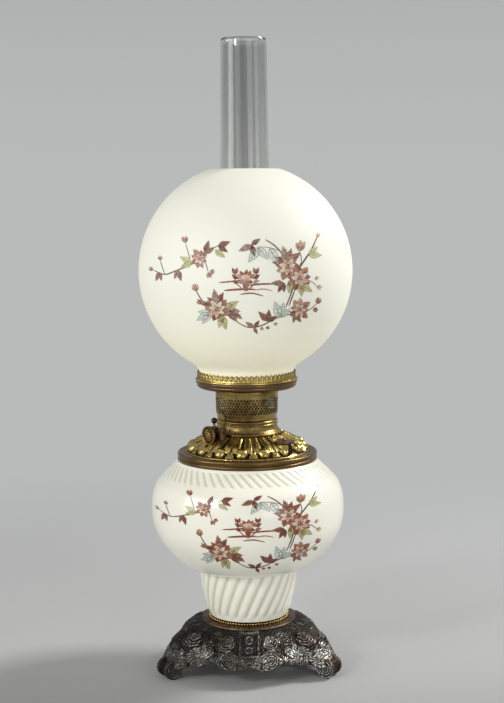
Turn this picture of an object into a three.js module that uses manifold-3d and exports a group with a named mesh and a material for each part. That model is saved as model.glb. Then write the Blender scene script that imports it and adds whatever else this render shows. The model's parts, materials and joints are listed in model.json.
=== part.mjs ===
// Parlor lamp: cast openwork stand, opal glass vase, lift-out oil font, centre draught burner and ball shade.
// Millimetres, +Z up. The floor is z = 0, the lamp's axis is the Z axis and its front faces -Y.
import * as THREE from 'three';
import { mergeVertices } from 'three/addons/utils/BufferGeometryUtils.js';
import Module from 'manifold-3d';

const wasm = await Module();
wasm.setup();

// Fits shared by the whole lamp
const SEAT_GAP = 0.3;
const RUNNING_GAP = 0.35;
const CUT_OVERRUN = 3;
const WELD_DISTANCE = 0.00003;
const NORMAL_STEP = 0.01;

// Cast base
const BASE_RADIUS = 86;
const BASE_SHOULDER_HEIGHT = 51;
const BASE_RING_HEIGHT = 53;
const BASE_RING_RADIUS = 48;
const BASE_RING_HOLE_RADIUS = 36;
const BASE_WALL = 3.6;
const BASE_SPOKE_WIDTH = 8;
const BASE_SPOKE_DEPTH = 3.4;
const BASE_HUB_RADIUS = 10;
const BASE_HUB_DEPTH = 8;
const FOOT_RADIUS = 10.3;
const FOOT_SPREAD = 11.2;
const FOOT_THICKNESS = 7;

// Rod that clamps the vase to the base
const ROD_RADIUS = 4;
const ROD_TAIL = 8;
const WASHER_RADIUS = 11;
const WASHER_THICKNESS = 1.4;
const NUT_RADIUS = 7.5;
const NUT_HEIGHT = 5.5;
const CLAMP_PLATE_RADIUS = 30;
const CLAMP_PLATE_THICKNESS = 2.2;
const CLAMP_AIR_RADIUS = 4.5;
const CLAMP_AIR_PITCH_RADIUS = 15;

// Beaded ring under the vase
const BEAD_RING_RADIUS = 42.9;
const BEAD_RING_HEIGHT = 4;
const BEAD_RELIEF = 0.5;

// Opal glass vase
const VASE_HEIGHT = 170.6;
const VASE_BELLY_RADIUS = 104.4;
const VASE_FOOT_HOLE_RADIUS = 20;
const VASE_FLOOR = 5;
const VASE_LIP_INNER_RADIUS = 68.6;
const VASE_LIP_OUTER_RADIUS = 72.4;
const VASE_LIP_HEIGHT = 4.8;
const STEM_RIB_DEPTH = 0.8;

// Collar ring on the vase's mouth
const COLLAR_RADIUS = 75.6;
const COLLAR_HEIGHT = 9.8;
const COLLAR_HOLE_RADIUS = 64.5;
const COLLAR_LEDGE_DROP = 2.2;
const COLLAR_WEB = 2.2;

// Oil font that hangs in the collar ring
const FONT_FLANGE_RADIUS = 67;
const FONT_FLANGE_THICKNESS = 1.9;
const FONT_DOME_HEIGHT = 21.6;
const FONT_NECK_SEAT_RADIUS = 36.8;
const FONT_BOWL_RADIUS = 62.8;
const FONT_BOWL_DEPTH = 93;
const FONT_WALL = 1.2;
const BOSS_LIFT = 1.5;
const LEAF_LIFT = 1.1;

// Draught tube, wick tube and wick
const DRAUGHT_RADIUS = 15.2;
const DRAUGHT_TAIL = 1.5;
const TUBE_WALL = 0.8;
const WICK_TUBE_RADIUS = 20.8;
const WICK_TUBE_DEPTH = 31;
const WICK_TOP_DROP = 10;
const WICK_LENGTH = 103;
const WICK_CARRIER_HEIGHT = 6;
const WICK_ARM_HEIGHT = 3;
const WICK_ARM_WIDTH = 5;

// Filler on the font's dome
const FILLER_DISTANCE = 53;
const FILLER_CAP_RADIUS = 11.3;
const FILLER_CAP_THICKNESS = 1.9;
const FILLER_KNOB_RADIUS = 2.4;
const FILLER_LANDING_HEIGHT = 15.3;
const FILLER_LANDING_THICKNESS = 4.5;
const FILLER_BORE_RADIUS = 7;
const FILLER_NECK_WALL = 1.2;
const FILLER_NECK_DEPTH = 8;
const FILLER_PLUG_DEPTH = 6;

// Burner collar and perforated burner body
const COLLAR_NECK_HEIGHT = 14.8;
const COLLAR_NECK_RADIUS = 36.6;
const COLLAR_NECK_BORE = 30.2;
const GALLERY_HEIGHT = 33.3;
const GALLERY_RADIUS = 33.5;
const GALLERY_WALL = 1;
const GALLERY_SKIRT_DEPTH = 9;
const GALLERY_HOLE_SIZE = 3;
const GALLERY_HOLE_PITCH = 8;
const GALLERY_HOLE_TOP_DROP = 11;

// Shade ring with its toothed crown
const PAN_HOLE_RADIUS = 29.5;
const PAN_LIP_RADIUS = 55.6;
const PAN_HEIGHT = 10.8;
const PAN_FLOOR = 1.6;
const SHADE_LEDGE_DROP = 1.2;
const SHADE_LEDGE_THICKNESS = 1.6;
const BURNER_TUBE_RISE = 6.5;
const CROWN_WALL = 1.5;
const CROWN_HEIGHT = 7;
const CROWN_TOOTH_LIFT = 2.2;
const FLAME_CONE_HEIGHT = 10;
const FLAME_CONE_MOUTH_RADIUS = 23.6;
const FLAME_CONE_WALL = 0.9;
const PRONG_WIDTH = 5;
const PRONG_THICKNESS = 0.7;
const PRONG_HEIGHT = 14;

// Flame spreader in the top of the draught tube
const SPREADER_STEM_DEPTH = 16;
const SPREADER_RISE = 4.5;
const SPREADER_CAP_RADIUS = 15.8;
const SPREADER_CAP_THICKNESS = 1.5;
const SPREADER_WALL = 1;

// Chimney
const CHIMNEY_HEIGHT = 368;
const CHIMNEY_BASE_RADIUS = 33.3;
const CHIMNEY_WALL = 1.9;

// Ball shade
const SHADE_RADIUS = 114.3;
const SHADE_WALL = 3;
const SHADE_FITTER_RADIUS = 50.8;
const SHADE_MOUTH_RADIUS = 38;
const SHADE_FITTER_HEIGHT = 13.5;

// Wick key with its gear case, rack and pinion
const KEY_SHAFT_RISE = 23.2;
const KEY_SHAFT_RADIUS = 2;
const KEY_SHAFT_START = 38.4;
const THUMBWHEEL_DISTANCE = 52.3;
const THUMBWHEEL_RADIUS = 10.1;
const THUMBWHEEL_THICKNESS = 2.6;
const THUMBWHEEL_RELIEF = 0.35;
const PACKING_NUT_RADIUS = 4.2;
const PACKING_NUT_LENGTH = 3.4;
const TOOTH_MODULE = 0.7;
const PINION_WIDTH = 3;
const RACK_DISTANCE = 41.3;
const RACK_BAR = 3.2;
const RACK_BACK = 2.2;
const RACK_TOP_RISE = 32.3;
const RACK_KNOB_RADIUS = 3.3;
const RACK_KNOB_STEM = 2;
const CASE_INNER_DISTANCE = 37.9;
const CASE_DEPTH = 7.5;
const CASE_TOP_RISE = 30.6;
const CASE_COLUMN_RADIUS = 4.6;
const CASE_COLUMN_OFFSET = 8.3;
const CASE_FOOT_RISE = 18.4;
const CASE_FOOT_REACH = 12;
const CASE_FOOT_WIDTH = 22;
const CASE_SCREW_RADIUS = 2.5;
const CASE_SCREW_LENGTH = 2.4;
const CASE_SCREW_DROP = 4;

// Counts and angles
const BASE_SEGMENTS = 60;
const BASE_FACES = 3;
const VASE_RIBS = 26;
const BEAD_COUNT = 36;
const BOSS_COUNT = 16;
const CROWN_TEETH = 60;
const PINION_TEETH = 10;
const RACK_TEETH = 12;
const ROUND_SEGMENTS = 36;
const TUBE_SEGMENTS = 28;
const SMALL_SEGMENTS = 16;
const HOLE_SEGMENTS = 8;
const SHADE_SEGMENTS = 36;
const SHADE_ROWS = 12;
const SHADE_INSIDE_ROWS = 6;
const CLAMP_AIR_HOLES = 6;
const PRONG_COUNT = 4;
const GALLERY_HOLES = 12;
const GALLERY_HOLE_ROWS = 2;
const SPREADER_HOLES = 2;
const HALF_TURN = Math.PI;
const KEY_ANGLE = THREE.MathUtils.degToRad(220);
const FILLER_ANGLE = THREE.MathUtils.degToRad(-42.7);
const BOSS_ANGLE = THREE.MathUtils.degToRad(-95.5);
const STEM_TWIST = THREE.MathUtils.degToRad(16);
const FACE_ANGLE = THREE.MathUtils.degToRad(-90);

// Base outline from the ring down: share of the shoulder height, then shares of the way from the ring's
// radius to the base radius, between the legs and on them
const BASE_OUTLINE_SHARES = [
  [1, 0, 0], [0.96, 0.185, 0.321], [0.93, 0.344, 0.513], [0.855, 0.513, 0.796],
  [0.795, 0.606, 0.955], [0.735, 0.672, 1.079], [0.605, 0.79, 1.181], [0.515, 0.869, 1.238],
  [0.43, 0.973, 1.294], [0.345, 1, 1.373], [0.26, 1.014, 1.453], [0, 1.023, 1.532],
];
// Rows of the shell: share of the way from the shoulder down to the lower edge
const BASE_ROW_SHARES = [0, 0.12, 0.3, 0.6, 1];
// Lower edge of one half of a face: share of the way from its middle to the leg, share of the shoulder height
const BASE_EDGE_SHARES = [
  [0, 0.443], [0.1, 0.375], [0.2, 0.345], [0.3, 0.375], [0.4, 0.45], [0.5, 0.475], [0.6, 0.365],
  [0.7, 0.335], [0.8, 0.285], [0.9, 0.11], [1, 0.24],
];
// The volutes' place, on the same scale as the outline's shares.
const FOOT_DISTANCE_SHARE = 1.321;
const LEG_START_SHARE = 0.7;
const LEG_FULL_SHARE = 0.86;
// Piercings of one half of a face: share of the way to the leg, then place up, half width and half height
const PIERCING_SHARES = [[0.68, 0.725, 0.032, 0.1], [0.42, 0.74, 0.045, 0.05]];
const PIERCING_OUTLINE_SHARES = [[0, 1], [1, -0.3], [0, -1], [-1, -0.3]];

// Vase outside from the foot to the shoulder, as shares of the belly radius and the vase height
const STEM_SHARES = [[0.405, 0], [0.455, 0.086], [0.489, 0.176], [0.515, 0.284]];
const BELLY_SHARES = [
  [0.527, 0.3], [0.642, 0.327], [0.761, 0.38], [0.849, 0.44], [0.934, 0.518], [0.984, 0.6], [1, 0.7],
  [0.99, 0.785], [0.947, 0.859], [0.875, 0.915], [0.738, 1],
];
// Vase inside from the mouth down to the floor
const VASE_INSIDE_SHARES = [
  [0.843, 0.897], [0.955, 0.75], [0.925, 0.58], [0.76, 0.42], [0.498, 0.325],
];
const FOOT_WELL_SHARE = 0.37;

// Collar ring outside: share of its radius, share of its height
const COLLAR_SHARES = [[0.99, 0], [1, 0.35], [0.997, 0.75], [0.965, 0.97], [0.93, 1]];

// Dome outside from the flange to the neck: shares of the flange radius and dome height, boss and leaf lift
const DOME_SHARES = [
  [0.967, 0.12, 0, 0], [0.934, 0.26, 1, 0], [0.875, 0.425, 1, 0], [0.813, 0.565, 0, 0.4],
  [0.739, 0.713, 0, 1], [0.62, 0.905, 0, 0.8],
];
const DOME_INSIDE_SHARES = [[0.567, 0.885], [0.776, 0.5]];
// Bowl from the rim down to the draught tube, as shares of the bowl radius and depth
const BOWL_SHARES = [[1, 0.7], [0.94, 0.86], [0.75, 0.97]];

// Burner collar outside: share of its radius, share of its height
const NECK_SHARES = [
  [1, 0], [0.989, 0.1], [0.92, 0.3], [0.92, 0.4], [0.874, 0.69], [0.891, 0.8], [0.891, 1],
];
// Burner body outside: share of its radius, share of its height
const GALLERY_SHARES = [[0.958, 0], [0.961, 0.117], [0.992, 0.3], [1.006, 0.79], [1.027, 1]];
// Shade ring outside: share of the lip radius, share of its height
const PAN_SHARES = [[0.9, 0], [0.946, 0.26], [0.954, 0.556], [1, 0.704], [0.99, 1]];
const SHADE_LEDGE_SHARE = 0.872;
const CROWN_RADIUS_SHARE = 0.959;
const CONE_SHOULDER_SHARE = 0.7;
const SPREADER_TOP_SHARE = 0.8;
const CAP_TOP_SHARE = 0.9;
const KNOB_SEAT_SHARE = 0.8;
// Thumbwheel face from the rim in: share of its radius, share of the relief sunk
const THUMBWHEEL_SHARES = [[1, 1], [0.95, 0], [0.86, 0], [0.82, 1], [0.36, 1], [0.3, 0], [0, 0]];
// Gear teeth: heights as shares of the module, half widths as shares of the pitch
const ADDENDUM_SHARE = 0.6;
const DEDENDUM_SHARE = 0.9;
const ROOT_HALF_SHARE = 0.26;
const TIP_HALF_SHARE = 0.11;
const TEETH_BELOW_SHAFT = 9;

// Chimney outside: share of its base radius, share of its height
const CHIMNEY_SHARES = [
  [1, 0], [1, 0.03], [0.826, 0.079], [0.799, 0.135], [0.784, 0.635], [0.763, 0.712], [0.739, 0.94],
  [0.721, 0.995],
];
const CHIMNEY_INSIDE_SHARES = [
  [0.721, 0.995], [0.784, 0.635], [0.79, 0.135], [0.826, 0.079], [1, 0.03], [1, 0],
];

// Heights and radii worked out from the sizes above
const VASE_Z = BASE_RING_HEIGHT + BEAD_RING_HEIGHT;
const VASE_SHOULDER_Z = VASE_Z + VASE_HEIGHT;
const COLLAR_TOP_Z = VASE_SHOULDER_Z + COLLAR_HEIGHT;
const COLLAR_LEDGE_Z = COLLAR_TOP_Z - COLLAR_LEDGE_DROP;
const FONT_Z = COLLAR_LEDGE_Z + SEAT_GAP;
const NECK_Z = FONT_Z + FONT_DOME_HEIGHT;
const BOWL_BOTTOM_Z = FONT_Z - FONT_BOWL_DEPTH;
const GALLERY_Z = NECK_Z + COLLAR_NECK_HEIGHT + SEAT_GAP;
const PAN_Z = GALLERY_Z + GALLERY_HEIGHT;
const TUBE_TOP_Z = PAN_Z + BURNER_TUBE_RISE;
const SHADE_LEDGE_Z = PAN_Z + PAN_HEIGHT - SHADE_LEDGE_DROP;
const SHADE_Z = SHADE_LEDGE_Z + SEAT_GAP;
const SHADE_CENTRE_Z = SHADE_Z + SHADE_FITTER_HEIGHT
  + Math.sqrt(SHADE_RADIUS ** 2 - SHADE_FITTER_RADIUS ** 2);
const CHIMNEY_Z = PAN_Z + PAN_FLOOR + SEAT_GAP;
const WICK_TOP_Z = TUBE_TOP_Z - WICK_TOP_DROP;
const WICK_Z = WICK_TOP_Z - WICK_LENGTH;
const WICK_INNER_RADIUS = DRAUGHT_RADIUS + RUNNING_GAP;
const WICK_OUTER_RADIUS = WICK_TUBE_RADIUS - TUBE_WALL - RUNNING_GAP;
const KEY_SHAFT_Z = FONT_Z + KEY_SHAFT_RISE;
const PITCH_RADIUS = TOOTH_MODULE * PINION_TEETH / 2;
const TOOTH_PITCH = TOOTH_MODULE * Math.PI;
const ADDENDUM = TOOTH_MODULE * ADDENDUM_SHARE;
const DEDENDUM = TOOTH_MODULE * DEDENDUM_SHARE;
const RACK_BACK_Y = -(PITCH_RADIUS + DEDENDUM + RACK_BACK);
const RACK_CENTRE_Y = -(PITCH_RADIUS + DEDENDUM + RACK_BACK / 2);
const LANDING_Z = FONT_Z + FILLER_LANDING_HEIGHT;

// Materials, coloured as in the photograph
const finish = (colour, roughness, metalness, extra = {}) =>
  new THREE.MeshStandardMaterial({ color: colour, roughness, metalness, ...extra });
const castMetal = finish(0x4a463f, 0.45, 0.85);
const brass = finish(0x9a7f3c, 0.32, 0.95);
const darkBrass = finish(0x5d4a28, 0.4, 0.9);
const copperBrass = finish(0x6a4a33, 0.4, 0.9);
const steel = finish(0x77756f, 0.45, 0.9);
const opalGlass = finish(0xefeee2, 0.2, 0);
const satinGlass = finish(0xf0efe2, 0.6, 0);
const clearGlass = finish(0xdfe6e8, 0.05, 0, { transparent: true, opacity: 0.35 });
const cotton = finish(0xe4dcc6, 0.95, 0);

// Booleans on closed geometries

function solidOf(geometry) {
  const bare = new THREE.BufferGeometry();
  bare.setAttribute('position', geometry.getAttribute('position').clone());
  if (geometry.index) bare.setIndex(geometry.index.clone());
  const merged = mergeVertices(bare, WELD_DISTANCE);
  const kept = [];
  const index = merged.index.array;
  for (let i = 0; i < index.length; i += 3) {
    const [a, b, c] = [index[i], index[i + 1], index[i + 2]];
    if (a !== b && b !== c && c !== a) kept.push(a, b, c);
  }
  const vertProperties = new Float32Array(merged.getAttribute('position').array);
  const triVerts = new Uint32Array(kept);
  const solid = new wasm.Manifold(new wasm.Mesh({ numProp: 3, vertProperties, triVerts }));
  if (solid.volume() >= 0) return solid;
  for (let i = 0; i < triVerts.length; i += 3) [triVerts[i], triVerts[i + 1]] = [triVerts[i + 1], triVerts[i]];
  return new wasm.Manifold(new wasm.Mesh({ numProp: 3, vertProperties, triVerts }));
}

function geometryOf(solid) {
  const mesh = solid.getMesh();
  const geometry = new THREE.BufferGeometry();
  geometry.setAttribute('position', new THREE.BufferAttribute(new Float32Array(mesh.vertProperties), 3));
  geometry.setIndex(new THREE.BufferAttribute(new Uint32Array(mesh.triVerts), 1));
  geometry.computeVertexNormals();
  return geometry;
}

const closed = (geometry) => geometryOf(solidOf(geometry));
const join = (...parts) => geometryOf(parts.map(solidOf).reduce((sum, part) => sum.add(part)));
const cut = (body, ...tools) =>
  geometryOf(tools.map(solidOf).reduce((rest, tool) => rest.subtract(tool), solidOf(body)));

// Basic shapes, all standing on Z

// A turned solid from [radius, height] points that start and end on the axis or close on themselves.
function turned(points, segments = ROUND_SEGMENTS) {
  const onAxis = points[0][0] === 0;
  const loop = onAxis ? points : [...points, points[0]];
  const profile = loop.map(([radius, height]) => new THREE.Vector2(radius, height));
  return closed(new THREE.LatheGeometry(profile, segments).rotateX(HALF_TURN / 2));
}

// A ring whose rows ripple: each row has a radius, a height, a ripple out and up, and a twist.
function rippled(rows, segments, waves, phase = 0) {
  const positions = [];
  const index = [];
  rows.forEach(({ radius, height, out = 0, up = 0, twist = 0 }) => {
    for (let i = 0; i < segments; i += 1) {
      const angle = (2 * HALF_TURN * i) / segments;
      const wave = Math.cos(waves * angle);
      const turn = angle + phase + twist;
      const reach = radius + out * wave;
      positions.push(reach * Math.cos(turn), reach * Math.sin(turn), height + up * wave);
    }
  });
  rows.forEach((_, row) => {
    const next = (row + 1) % rows.length;
    for (let i = 0; i < segments; i += 1) {
      const j = (i + 1) % segments;
      const [a, b, c, d] = [row * segments + i, row * segments + j, next * segments + j, next * segments + i];
      index.push(a, b, c, a, c, d);
    }
  });
  const geometry = new THREE.BufferGeometry();
  geometry.setAttribute('position', new THREE.Float32BufferAttribute(positions, 3));
  geometry.setIndex(index);
  return closed(geometry);
}

const disc = (radius, height, bottom = 0, segments = SMALL_SEGMENTS) =>
  turned([[0, bottom], [radius, bottom], [radius, bottom + height], [0, bottom + height]], segments);

const tube = (radius, bore, bottom, top, segments = TUBE_SEGMENTS) =>
  turned([[bore, bottom], [radius, bottom], [radius, top], [bore, top]], segments);

// A box between two corners.
function block([x0, y0, z0], [x1, y1, z1]) {
  const box = new THREE.BoxGeometry(x1 - x0, y1 - y0, z1 - z0);
  return box.translate((x0 + x1) / 2, (y0 + y1) / 2, (z0 + z1) / 2);
}

// A cylinder along X from one distance to another, at a height.
const bar = (radius, from, to, height, segments = SMALL_SEGMENTS) =>
  disc(radius, to - from, from, segments).rotateY(HALF_TURN / 2).translate(0, 0, height);

function prism(points, depth) {
  const shape = new THREE.Shape(points.map(([x, y]) => new THREE.Vector2(x, y)));
  return new THREE.ExtrudeGeometry(shape, { depth, bevelEnabled: false });
}

const hexagon = (radius, height, bottom) => disc(radius, height, bottom, 6);

const around = (count, make, sweep = 2 * HALF_TURN) =>
  Array.from({ length: count }, (_, i) => make(i).rotateZ((sweep * i) / count));

// Straight-line reading of a table of [position, value, ...] rows
function readTable(table, position, column) {
  const last = table.length - 1;
  const rising = table[last][0] > table[0][0];
  const after = table.findIndex(([at]) => (rising ? at >= position : at <= position));
  if (after <= 0) return table[after < 0 ? last : 0][column];
  const [low, high] = [table[after - 1], table[after]];
  const share = (position - low[0]) / (high[0] - low[0]);
  return low[column] + share * (high[column] - low[column]);
}

// Cast base: a round openwork shell under a top ring, with three faces between three legs

const FACE_SWEEP = 2 * HALF_TURN / BASE_FACES;
const BASE_SPAN = BASE_RADIUS - BASE_RING_RADIUS;
const FOOT_DISTANCE = BASE_RING_RADIUS + FOOT_DISTANCE_SHARE * BASE_SPAN;
const LEG_ANGLE = FACE_ANGLE + FACE_SWEEP / 2;

// Share of the way from the middle of the nearest face to the leg beside it.
function legShare(angle) {
  const faces = (angle - FACE_ANGLE) / FACE_SWEEP;
  return 2 * Math.abs(faces - Math.round(faces));
}

// Outside point of the base at an angle and a share of the shoulder height.
function basePoint(angle, heightShare) {
  const leg = THREE.MathUtils.smoothstep(legShare(angle), LEG_START_SHARE, LEG_FULL_SHARE);
  const plain = readTable(BASE_OUTLINE_SHARES, heightShare, 1);
  const share = plain + leg * (readTable(BASE_OUTLINE_SHARES, heightShare, 2) - plain);
  const reach = BASE_RING_RADIUS + share * BASE_SPAN;
  const height = BASE_SHOULDER_HEIGHT * heightShare;
  return new THREE.Vector3(reach * Math.cos(angle), reach * Math.sin(angle), height);
}

function baseNormal(angle, heightShare) {
  const turn = basePoint(angle + NORMAL_STEP, heightShare).sub(basePoint(angle - NORMAL_STEP, heightShare));
  const [high, low] = [Math.min(1, heightShare + NORMAL_STEP), Math.max(0, heightShare - NORMAL_STEP)];
  return turn.cross(basePoint(angle, high).sub(basePoint(angle, low))).normalize();
}

function baseShell() {
  const outer = [];
  const inner = [];
  BASE_ROW_SHARES.forEach((down) => {
    for (let i = 0; i < BASE_SEGMENTS; i += 1) {
      const angle = FACE_ANGLE + (2 * HALF_TURN * i) / BASE_SEGMENTS;
      const share = 1 + (readTable(BASE_EDGE_SHARES, legShare(angle), 1) - 1) * down;
      const point = basePoint(angle, share);
      outer.push(point);
      inner.push(point.clone().addScaledVector(baseNormal(angle, share), -BASE_WALL));
    }
  });
  const positions = [...outer, ...inner.reverse()].flatMap((point) => point.toArray());
  return ringMesh(positions, 2 * BASE_ROW_SHARES.length, BASE_SEGMENTS, BASE_ROW_SHARES.length);
}

// Joins rows of points into a closed ring; rows from `mirrored` on were stored back to front.
function ringMesh(positions, rows, segments, mirrored) {
  const at = (row, i) => {
    const place = ((i % segments) + segments) % segments;
    return row * segments + (row < mirrored ? place : segments - 1 - place);
  };
  const index = [];
  for (let row = 0; row < rows; row += 1) {
    const next = (row + 1) % rows;
    for (let i = 0; i < segments; i += 1) {
      index.push(at(row, i), at(row, i + 1), at(next, i + 1), at(row, i), at(next, i + 1), at(next, i));
    }
  }
  const geometry = new THREE.BufferGeometry();
  geometry.setAttribute('position', new THREE.Float32BufferAttribute(positions, 3));
  geometry.setIndex(index);
  return closed(geometry);
}

function baseRing() {
  const under = BASE_SHOULDER_HEIGHT - BASE_WALL;
  return turned([
    [BASE_RING_HOLE_RADIUS, under], [BASE_RING_RADIUS, under], [BASE_RING_RADIUS, BASE_SHOULDER_HEIGHT],
    [BEAD_RING_RADIUS + BEAD_RELIEF, BASE_RING_HEIGHT], [BASE_RING_HOLE_RADIUS, BASE_RING_HEIGHT],
  ]);
}

function baseSpokes() {
  const top = BASE_SHOULDER_HEIGHT;
  const spoke = () => block(
    [BASE_HUB_RADIUS / 2, -BASE_SPOKE_WIDTH / 2, top - BASE_SPOKE_DEPTH],
    [(BASE_RING_HOLE_RADIUS + BASE_RING_RADIUS) / 2, BASE_SPOKE_WIDTH / 2, top],
  );
  return join(disc(BASE_HUB_RADIUS, BASE_HUB_DEPTH, top - BASE_HUB_DEPTH), ...around(BASE_FACES, spoke));
}

// Two volute discs on each foot, one to each side of the leg, standing on a flat of their rims.
function baseFeet() {
  const centre = FOOT_RADIUS * Math.cos(HALF_TURN / SMALL_SEGMENTS);
  const volute = (side) => disc(FOOT_RADIUS, FOOT_THICKNESS, -FOOT_THICKNESS / 2)
    .rotateZ(HALF_TURN / SMALL_SEGMENTS).rotateX(HALF_TURN / 2)
    .translate(FOOT_DISTANCE, side * (FOOT_SPREAD - FOOT_THICKNESS / 2), centre)
    .rotateZ(LEG_ANGLE);
  return [1, -1].flatMap((side) => around(BASE_FACES, () => volute(side)));
}

function basePiercings() {
  const tool = ([across, up, halfWidth, halfHeight], side) => {
    const [width, height] = [halfWidth * BASE_RADIUS, halfHeight * BASE_SHOULDER_HEIGHT];
    const outline = PIERCING_OUTLINE_SHARES.map(([x, y]) => [x * width, y * height]);
    return prism(outline, FOOT_DISTANCE - BASE_RING_RADIUS)
      .rotateX(HALF_TURN / 2).rotateZ(HALF_TURN / 2)
      .translate(BASE_RING_RADIUS, 0, up * BASE_SHOULDER_HEIGHT)
      .rotateZ(FACE_ANGLE + side * across * FACE_SWEEP / 2);
  };
  return PIERCING_SHARES.flatMap((piercing) =>
    [1, -1].flatMap((side) => around(BASE_FACES, () => tool(piercing, side))));
}

function castBase() {
  const bore = disc(ROD_RADIUS + RUNNING_GAP, BASE_RING_HEIGHT, 0, SMALL_SEGMENTS);
  return cut(join(baseShell(), baseRing(), baseSpokes(), ...baseFeet()), ...basePiercings(), bore);
}

// Clamp that holds the vase down: a rod through the base's hub and an air plate on the vase's floor

const HUB_BOTTOM_Z = BASE_SHOULDER_HEIGHT - BASE_HUB_DEPTH;
const VASE_FLOOR_Z = VASE_Z + VASE_FLOOR;
const CLAMP_TOP_Z = VASE_FLOOR_Z + CLAMP_PLATE_THICKNESS;
const ROD_HOLE_RADIUS = ROD_RADIUS + RUNNING_GAP;

const washer = () =>
  tube(WASHER_RADIUS, ROD_HOLE_RADIUS, HUB_BOTTOM_Z - WASHER_THICKNESS, HUB_BOTTOM_Z, SMALL_SEGMENTS);

function rodNut(bottom) {
  const hole = disc(ROD_HOLE_RADIUS, 2 * NUT_HEIGHT, bottom - NUT_HEIGHT / 2);
  return cut(hexagon(NUT_RADIUS, NUT_HEIGHT, bottom), hole);
}

function clampRod() {
  const bottom = HUB_BOTTOM_Z - ROD_TAIL;
  return disc(ROD_RADIUS, CLAMP_TOP_Z + NUT_HEIGHT + CLAMP_PLATE_THICKNESS - bottom, bottom);
}

function clampPlate() {
  const plate = tube(CLAMP_PLATE_RADIUS, ROD_HOLE_RADIUS, VASE_FLOOR_Z, CLAMP_TOP_Z);
  const hole = () => disc(CLAMP_AIR_RADIUS, VASE_FLOOR * 2, VASE_FLOOR_Z - VASE_FLOOR / 2, HOLE_SEGMENTS)
    .translate(CLAMP_AIR_PITCH_RADIUS, 0, 0);
  return cut(plate, ...around(CLAMP_AIR_HOLES, hole));
}

function beadedRing() {
  const row = (radius, height, out = 0) => ({ radius, height, out });
  return rippled([
    row(BASE_RING_HOLE_RADIUS, BASE_RING_HEIGHT), row(BEAD_RING_RADIUS, BASE_RING_HEIGHT, BEAD_RELIEF),
    row(BEAD_RING_RADIUS, VASE_Z, BEAD_RELIEF), row(BASE_RING_HOLE_RADIUS, VASE_Z),
  ], 2 * BEAD_COUNT, BEAD_COUNT);
}

// Vase: swirled ribs on the stem, a plain belly and a lip for the collar ring

function vase() {
  const row = ([radiusShare, heightShare], out = 0) => ({
    radius: radiusShare * VASE_BELLY_RADIUS,
    height: VASE_Z + heightShare * VASE_HEIGHT,
    out,
    twist: STEM_TWIST * Math.min(1, heightShare / STEM_SHARES.at(-1)[1]),
  });
  const ring = (radius, height, twist = STEM_TWIST) => ({ radius, height, twist });
  const lipTop = VASE_SHOULDER_Z + VASE_LIP_HEIGHT;
  return rippled([
    ...STEM_SHARES.map((share, i) => row(share, i === 0 ? 0 : STEM_RIB_DEPTH)),
    ...BELLY_SHARES.map((share) => row(share)),
    ring(VASE_LIP_OUTER_RADIUS, VASE_SHOULDER_Z),
    ring(VASE_LIP_OUTER_RADIUS, lipTop),
    ring(VASE_LIP_INNER_RADIUS, lipTop),
    ...VASE_INSIDE_SHARES.map((share) => row(share)),
    ring(FOOT_WELL_SHARE * VASE_BELLY_RADIUS, VASE_FLOOR_Z, 0),
    ring(VASE_FOOT_HOLE_RADIUS, VASE_FLOOR_Z, 0),
    ring(VASE_FOOT_HOLE_RADIUS, VASE_Z, 0),
  ], 2 * VASE_RIBS, VASE_RIBS);
}

function collarRing() {
  const [bottom, top] = [VASE_SHOULDER_Z, COLLAR_TOP_Z];
  const channelTop = bottom + VASE_LIP_HEIGHT + SEAT_GAP;
  const recess = FONT_FLANGE_RADIUS + 2 * SEAT_GAP;
  const skirt = VASE_LIP_OUTER_RADIUS + 2 * SEAT_GAP;
  const inner = VASE_LIP_INNER_RADIUS - 2 * SEAT_GAP;
  return turned([
    ...COLLAR_SHARES.map(([radius, height]) => [radius * COLLAR_RADIUS, bottom + height * COLLAR_HEIGHT]),
    [recess, top - SEAT_GAP],
    [recess, COLLAR_LEDGE_Z], [COLLAR_HOLE_RADIUS, COLLAR_LEDGE_Z],
    [COLLAR_HOLE_RADIUS, COLLAR_LEDGE_Z - COLLAR_WEB], [inner, COLLAR_LEDGE_Z - COLLAR_WEB],
    [inner, channelTop], [skirt, channelTop], [skirt, bottom],
  ]);
}

// Oil font: bowl, embossed dome, draught tube and wick tube

function domeRows(inside) {
  const row = ([radiusShare, heightShare, boss, leaf]) => ({
    radius: radiusShare * FONT_FLANGE_RADIUS,
    height: FONT_Z + heightShare * FONT_DOME_HEIGHT + (boss * BOSS_LIFT - leaf * LEAF_LIFT) / 4,
    out: boss * BOSS_LIFT,
    up: boss * BOSS_LIFT / 2 - leaf * LEAF_LIFT,
  });
  return [
    { radius: FONT_FLANGE_RADIUS, height: FONT_Z },
    { radius: FONT_FLANGE_RADIUS, height: FONT_Z + FONT_FLANGE_THICKNESS },
    ...DOME_SHARES.map(row),
    { radius: FONT_NECK_SEAT_RADIUS, height: NECK_Z },
    ...inside,
  ];
}

function domeInside() {
  const bore = WICK_TUBE_RADIUS + SEAT_GAP;
  return [
    { radius: bore, height: NECK_Z }, { radius: bore, height: NECK_Z - FONT_WALL },
    ...DOME_INSIDE_SHARES.map(([radiusShare, heightShare]) => ({
      radius: radiusShare * FONT_FLANGE_RADIUS, height: FONT_Z + heightShare * FONT_DOME_HEIGHT,
    })),
    { radius: FONT_BOWL_RADIUS - FONT_WALL, height: FONT_Z },
  ];
}

const dome = (inside) => rippled(domeRows(inside), 4 * BOSS_COUNT, BOSS_COUNT, BOSS_ANGLE);

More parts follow.
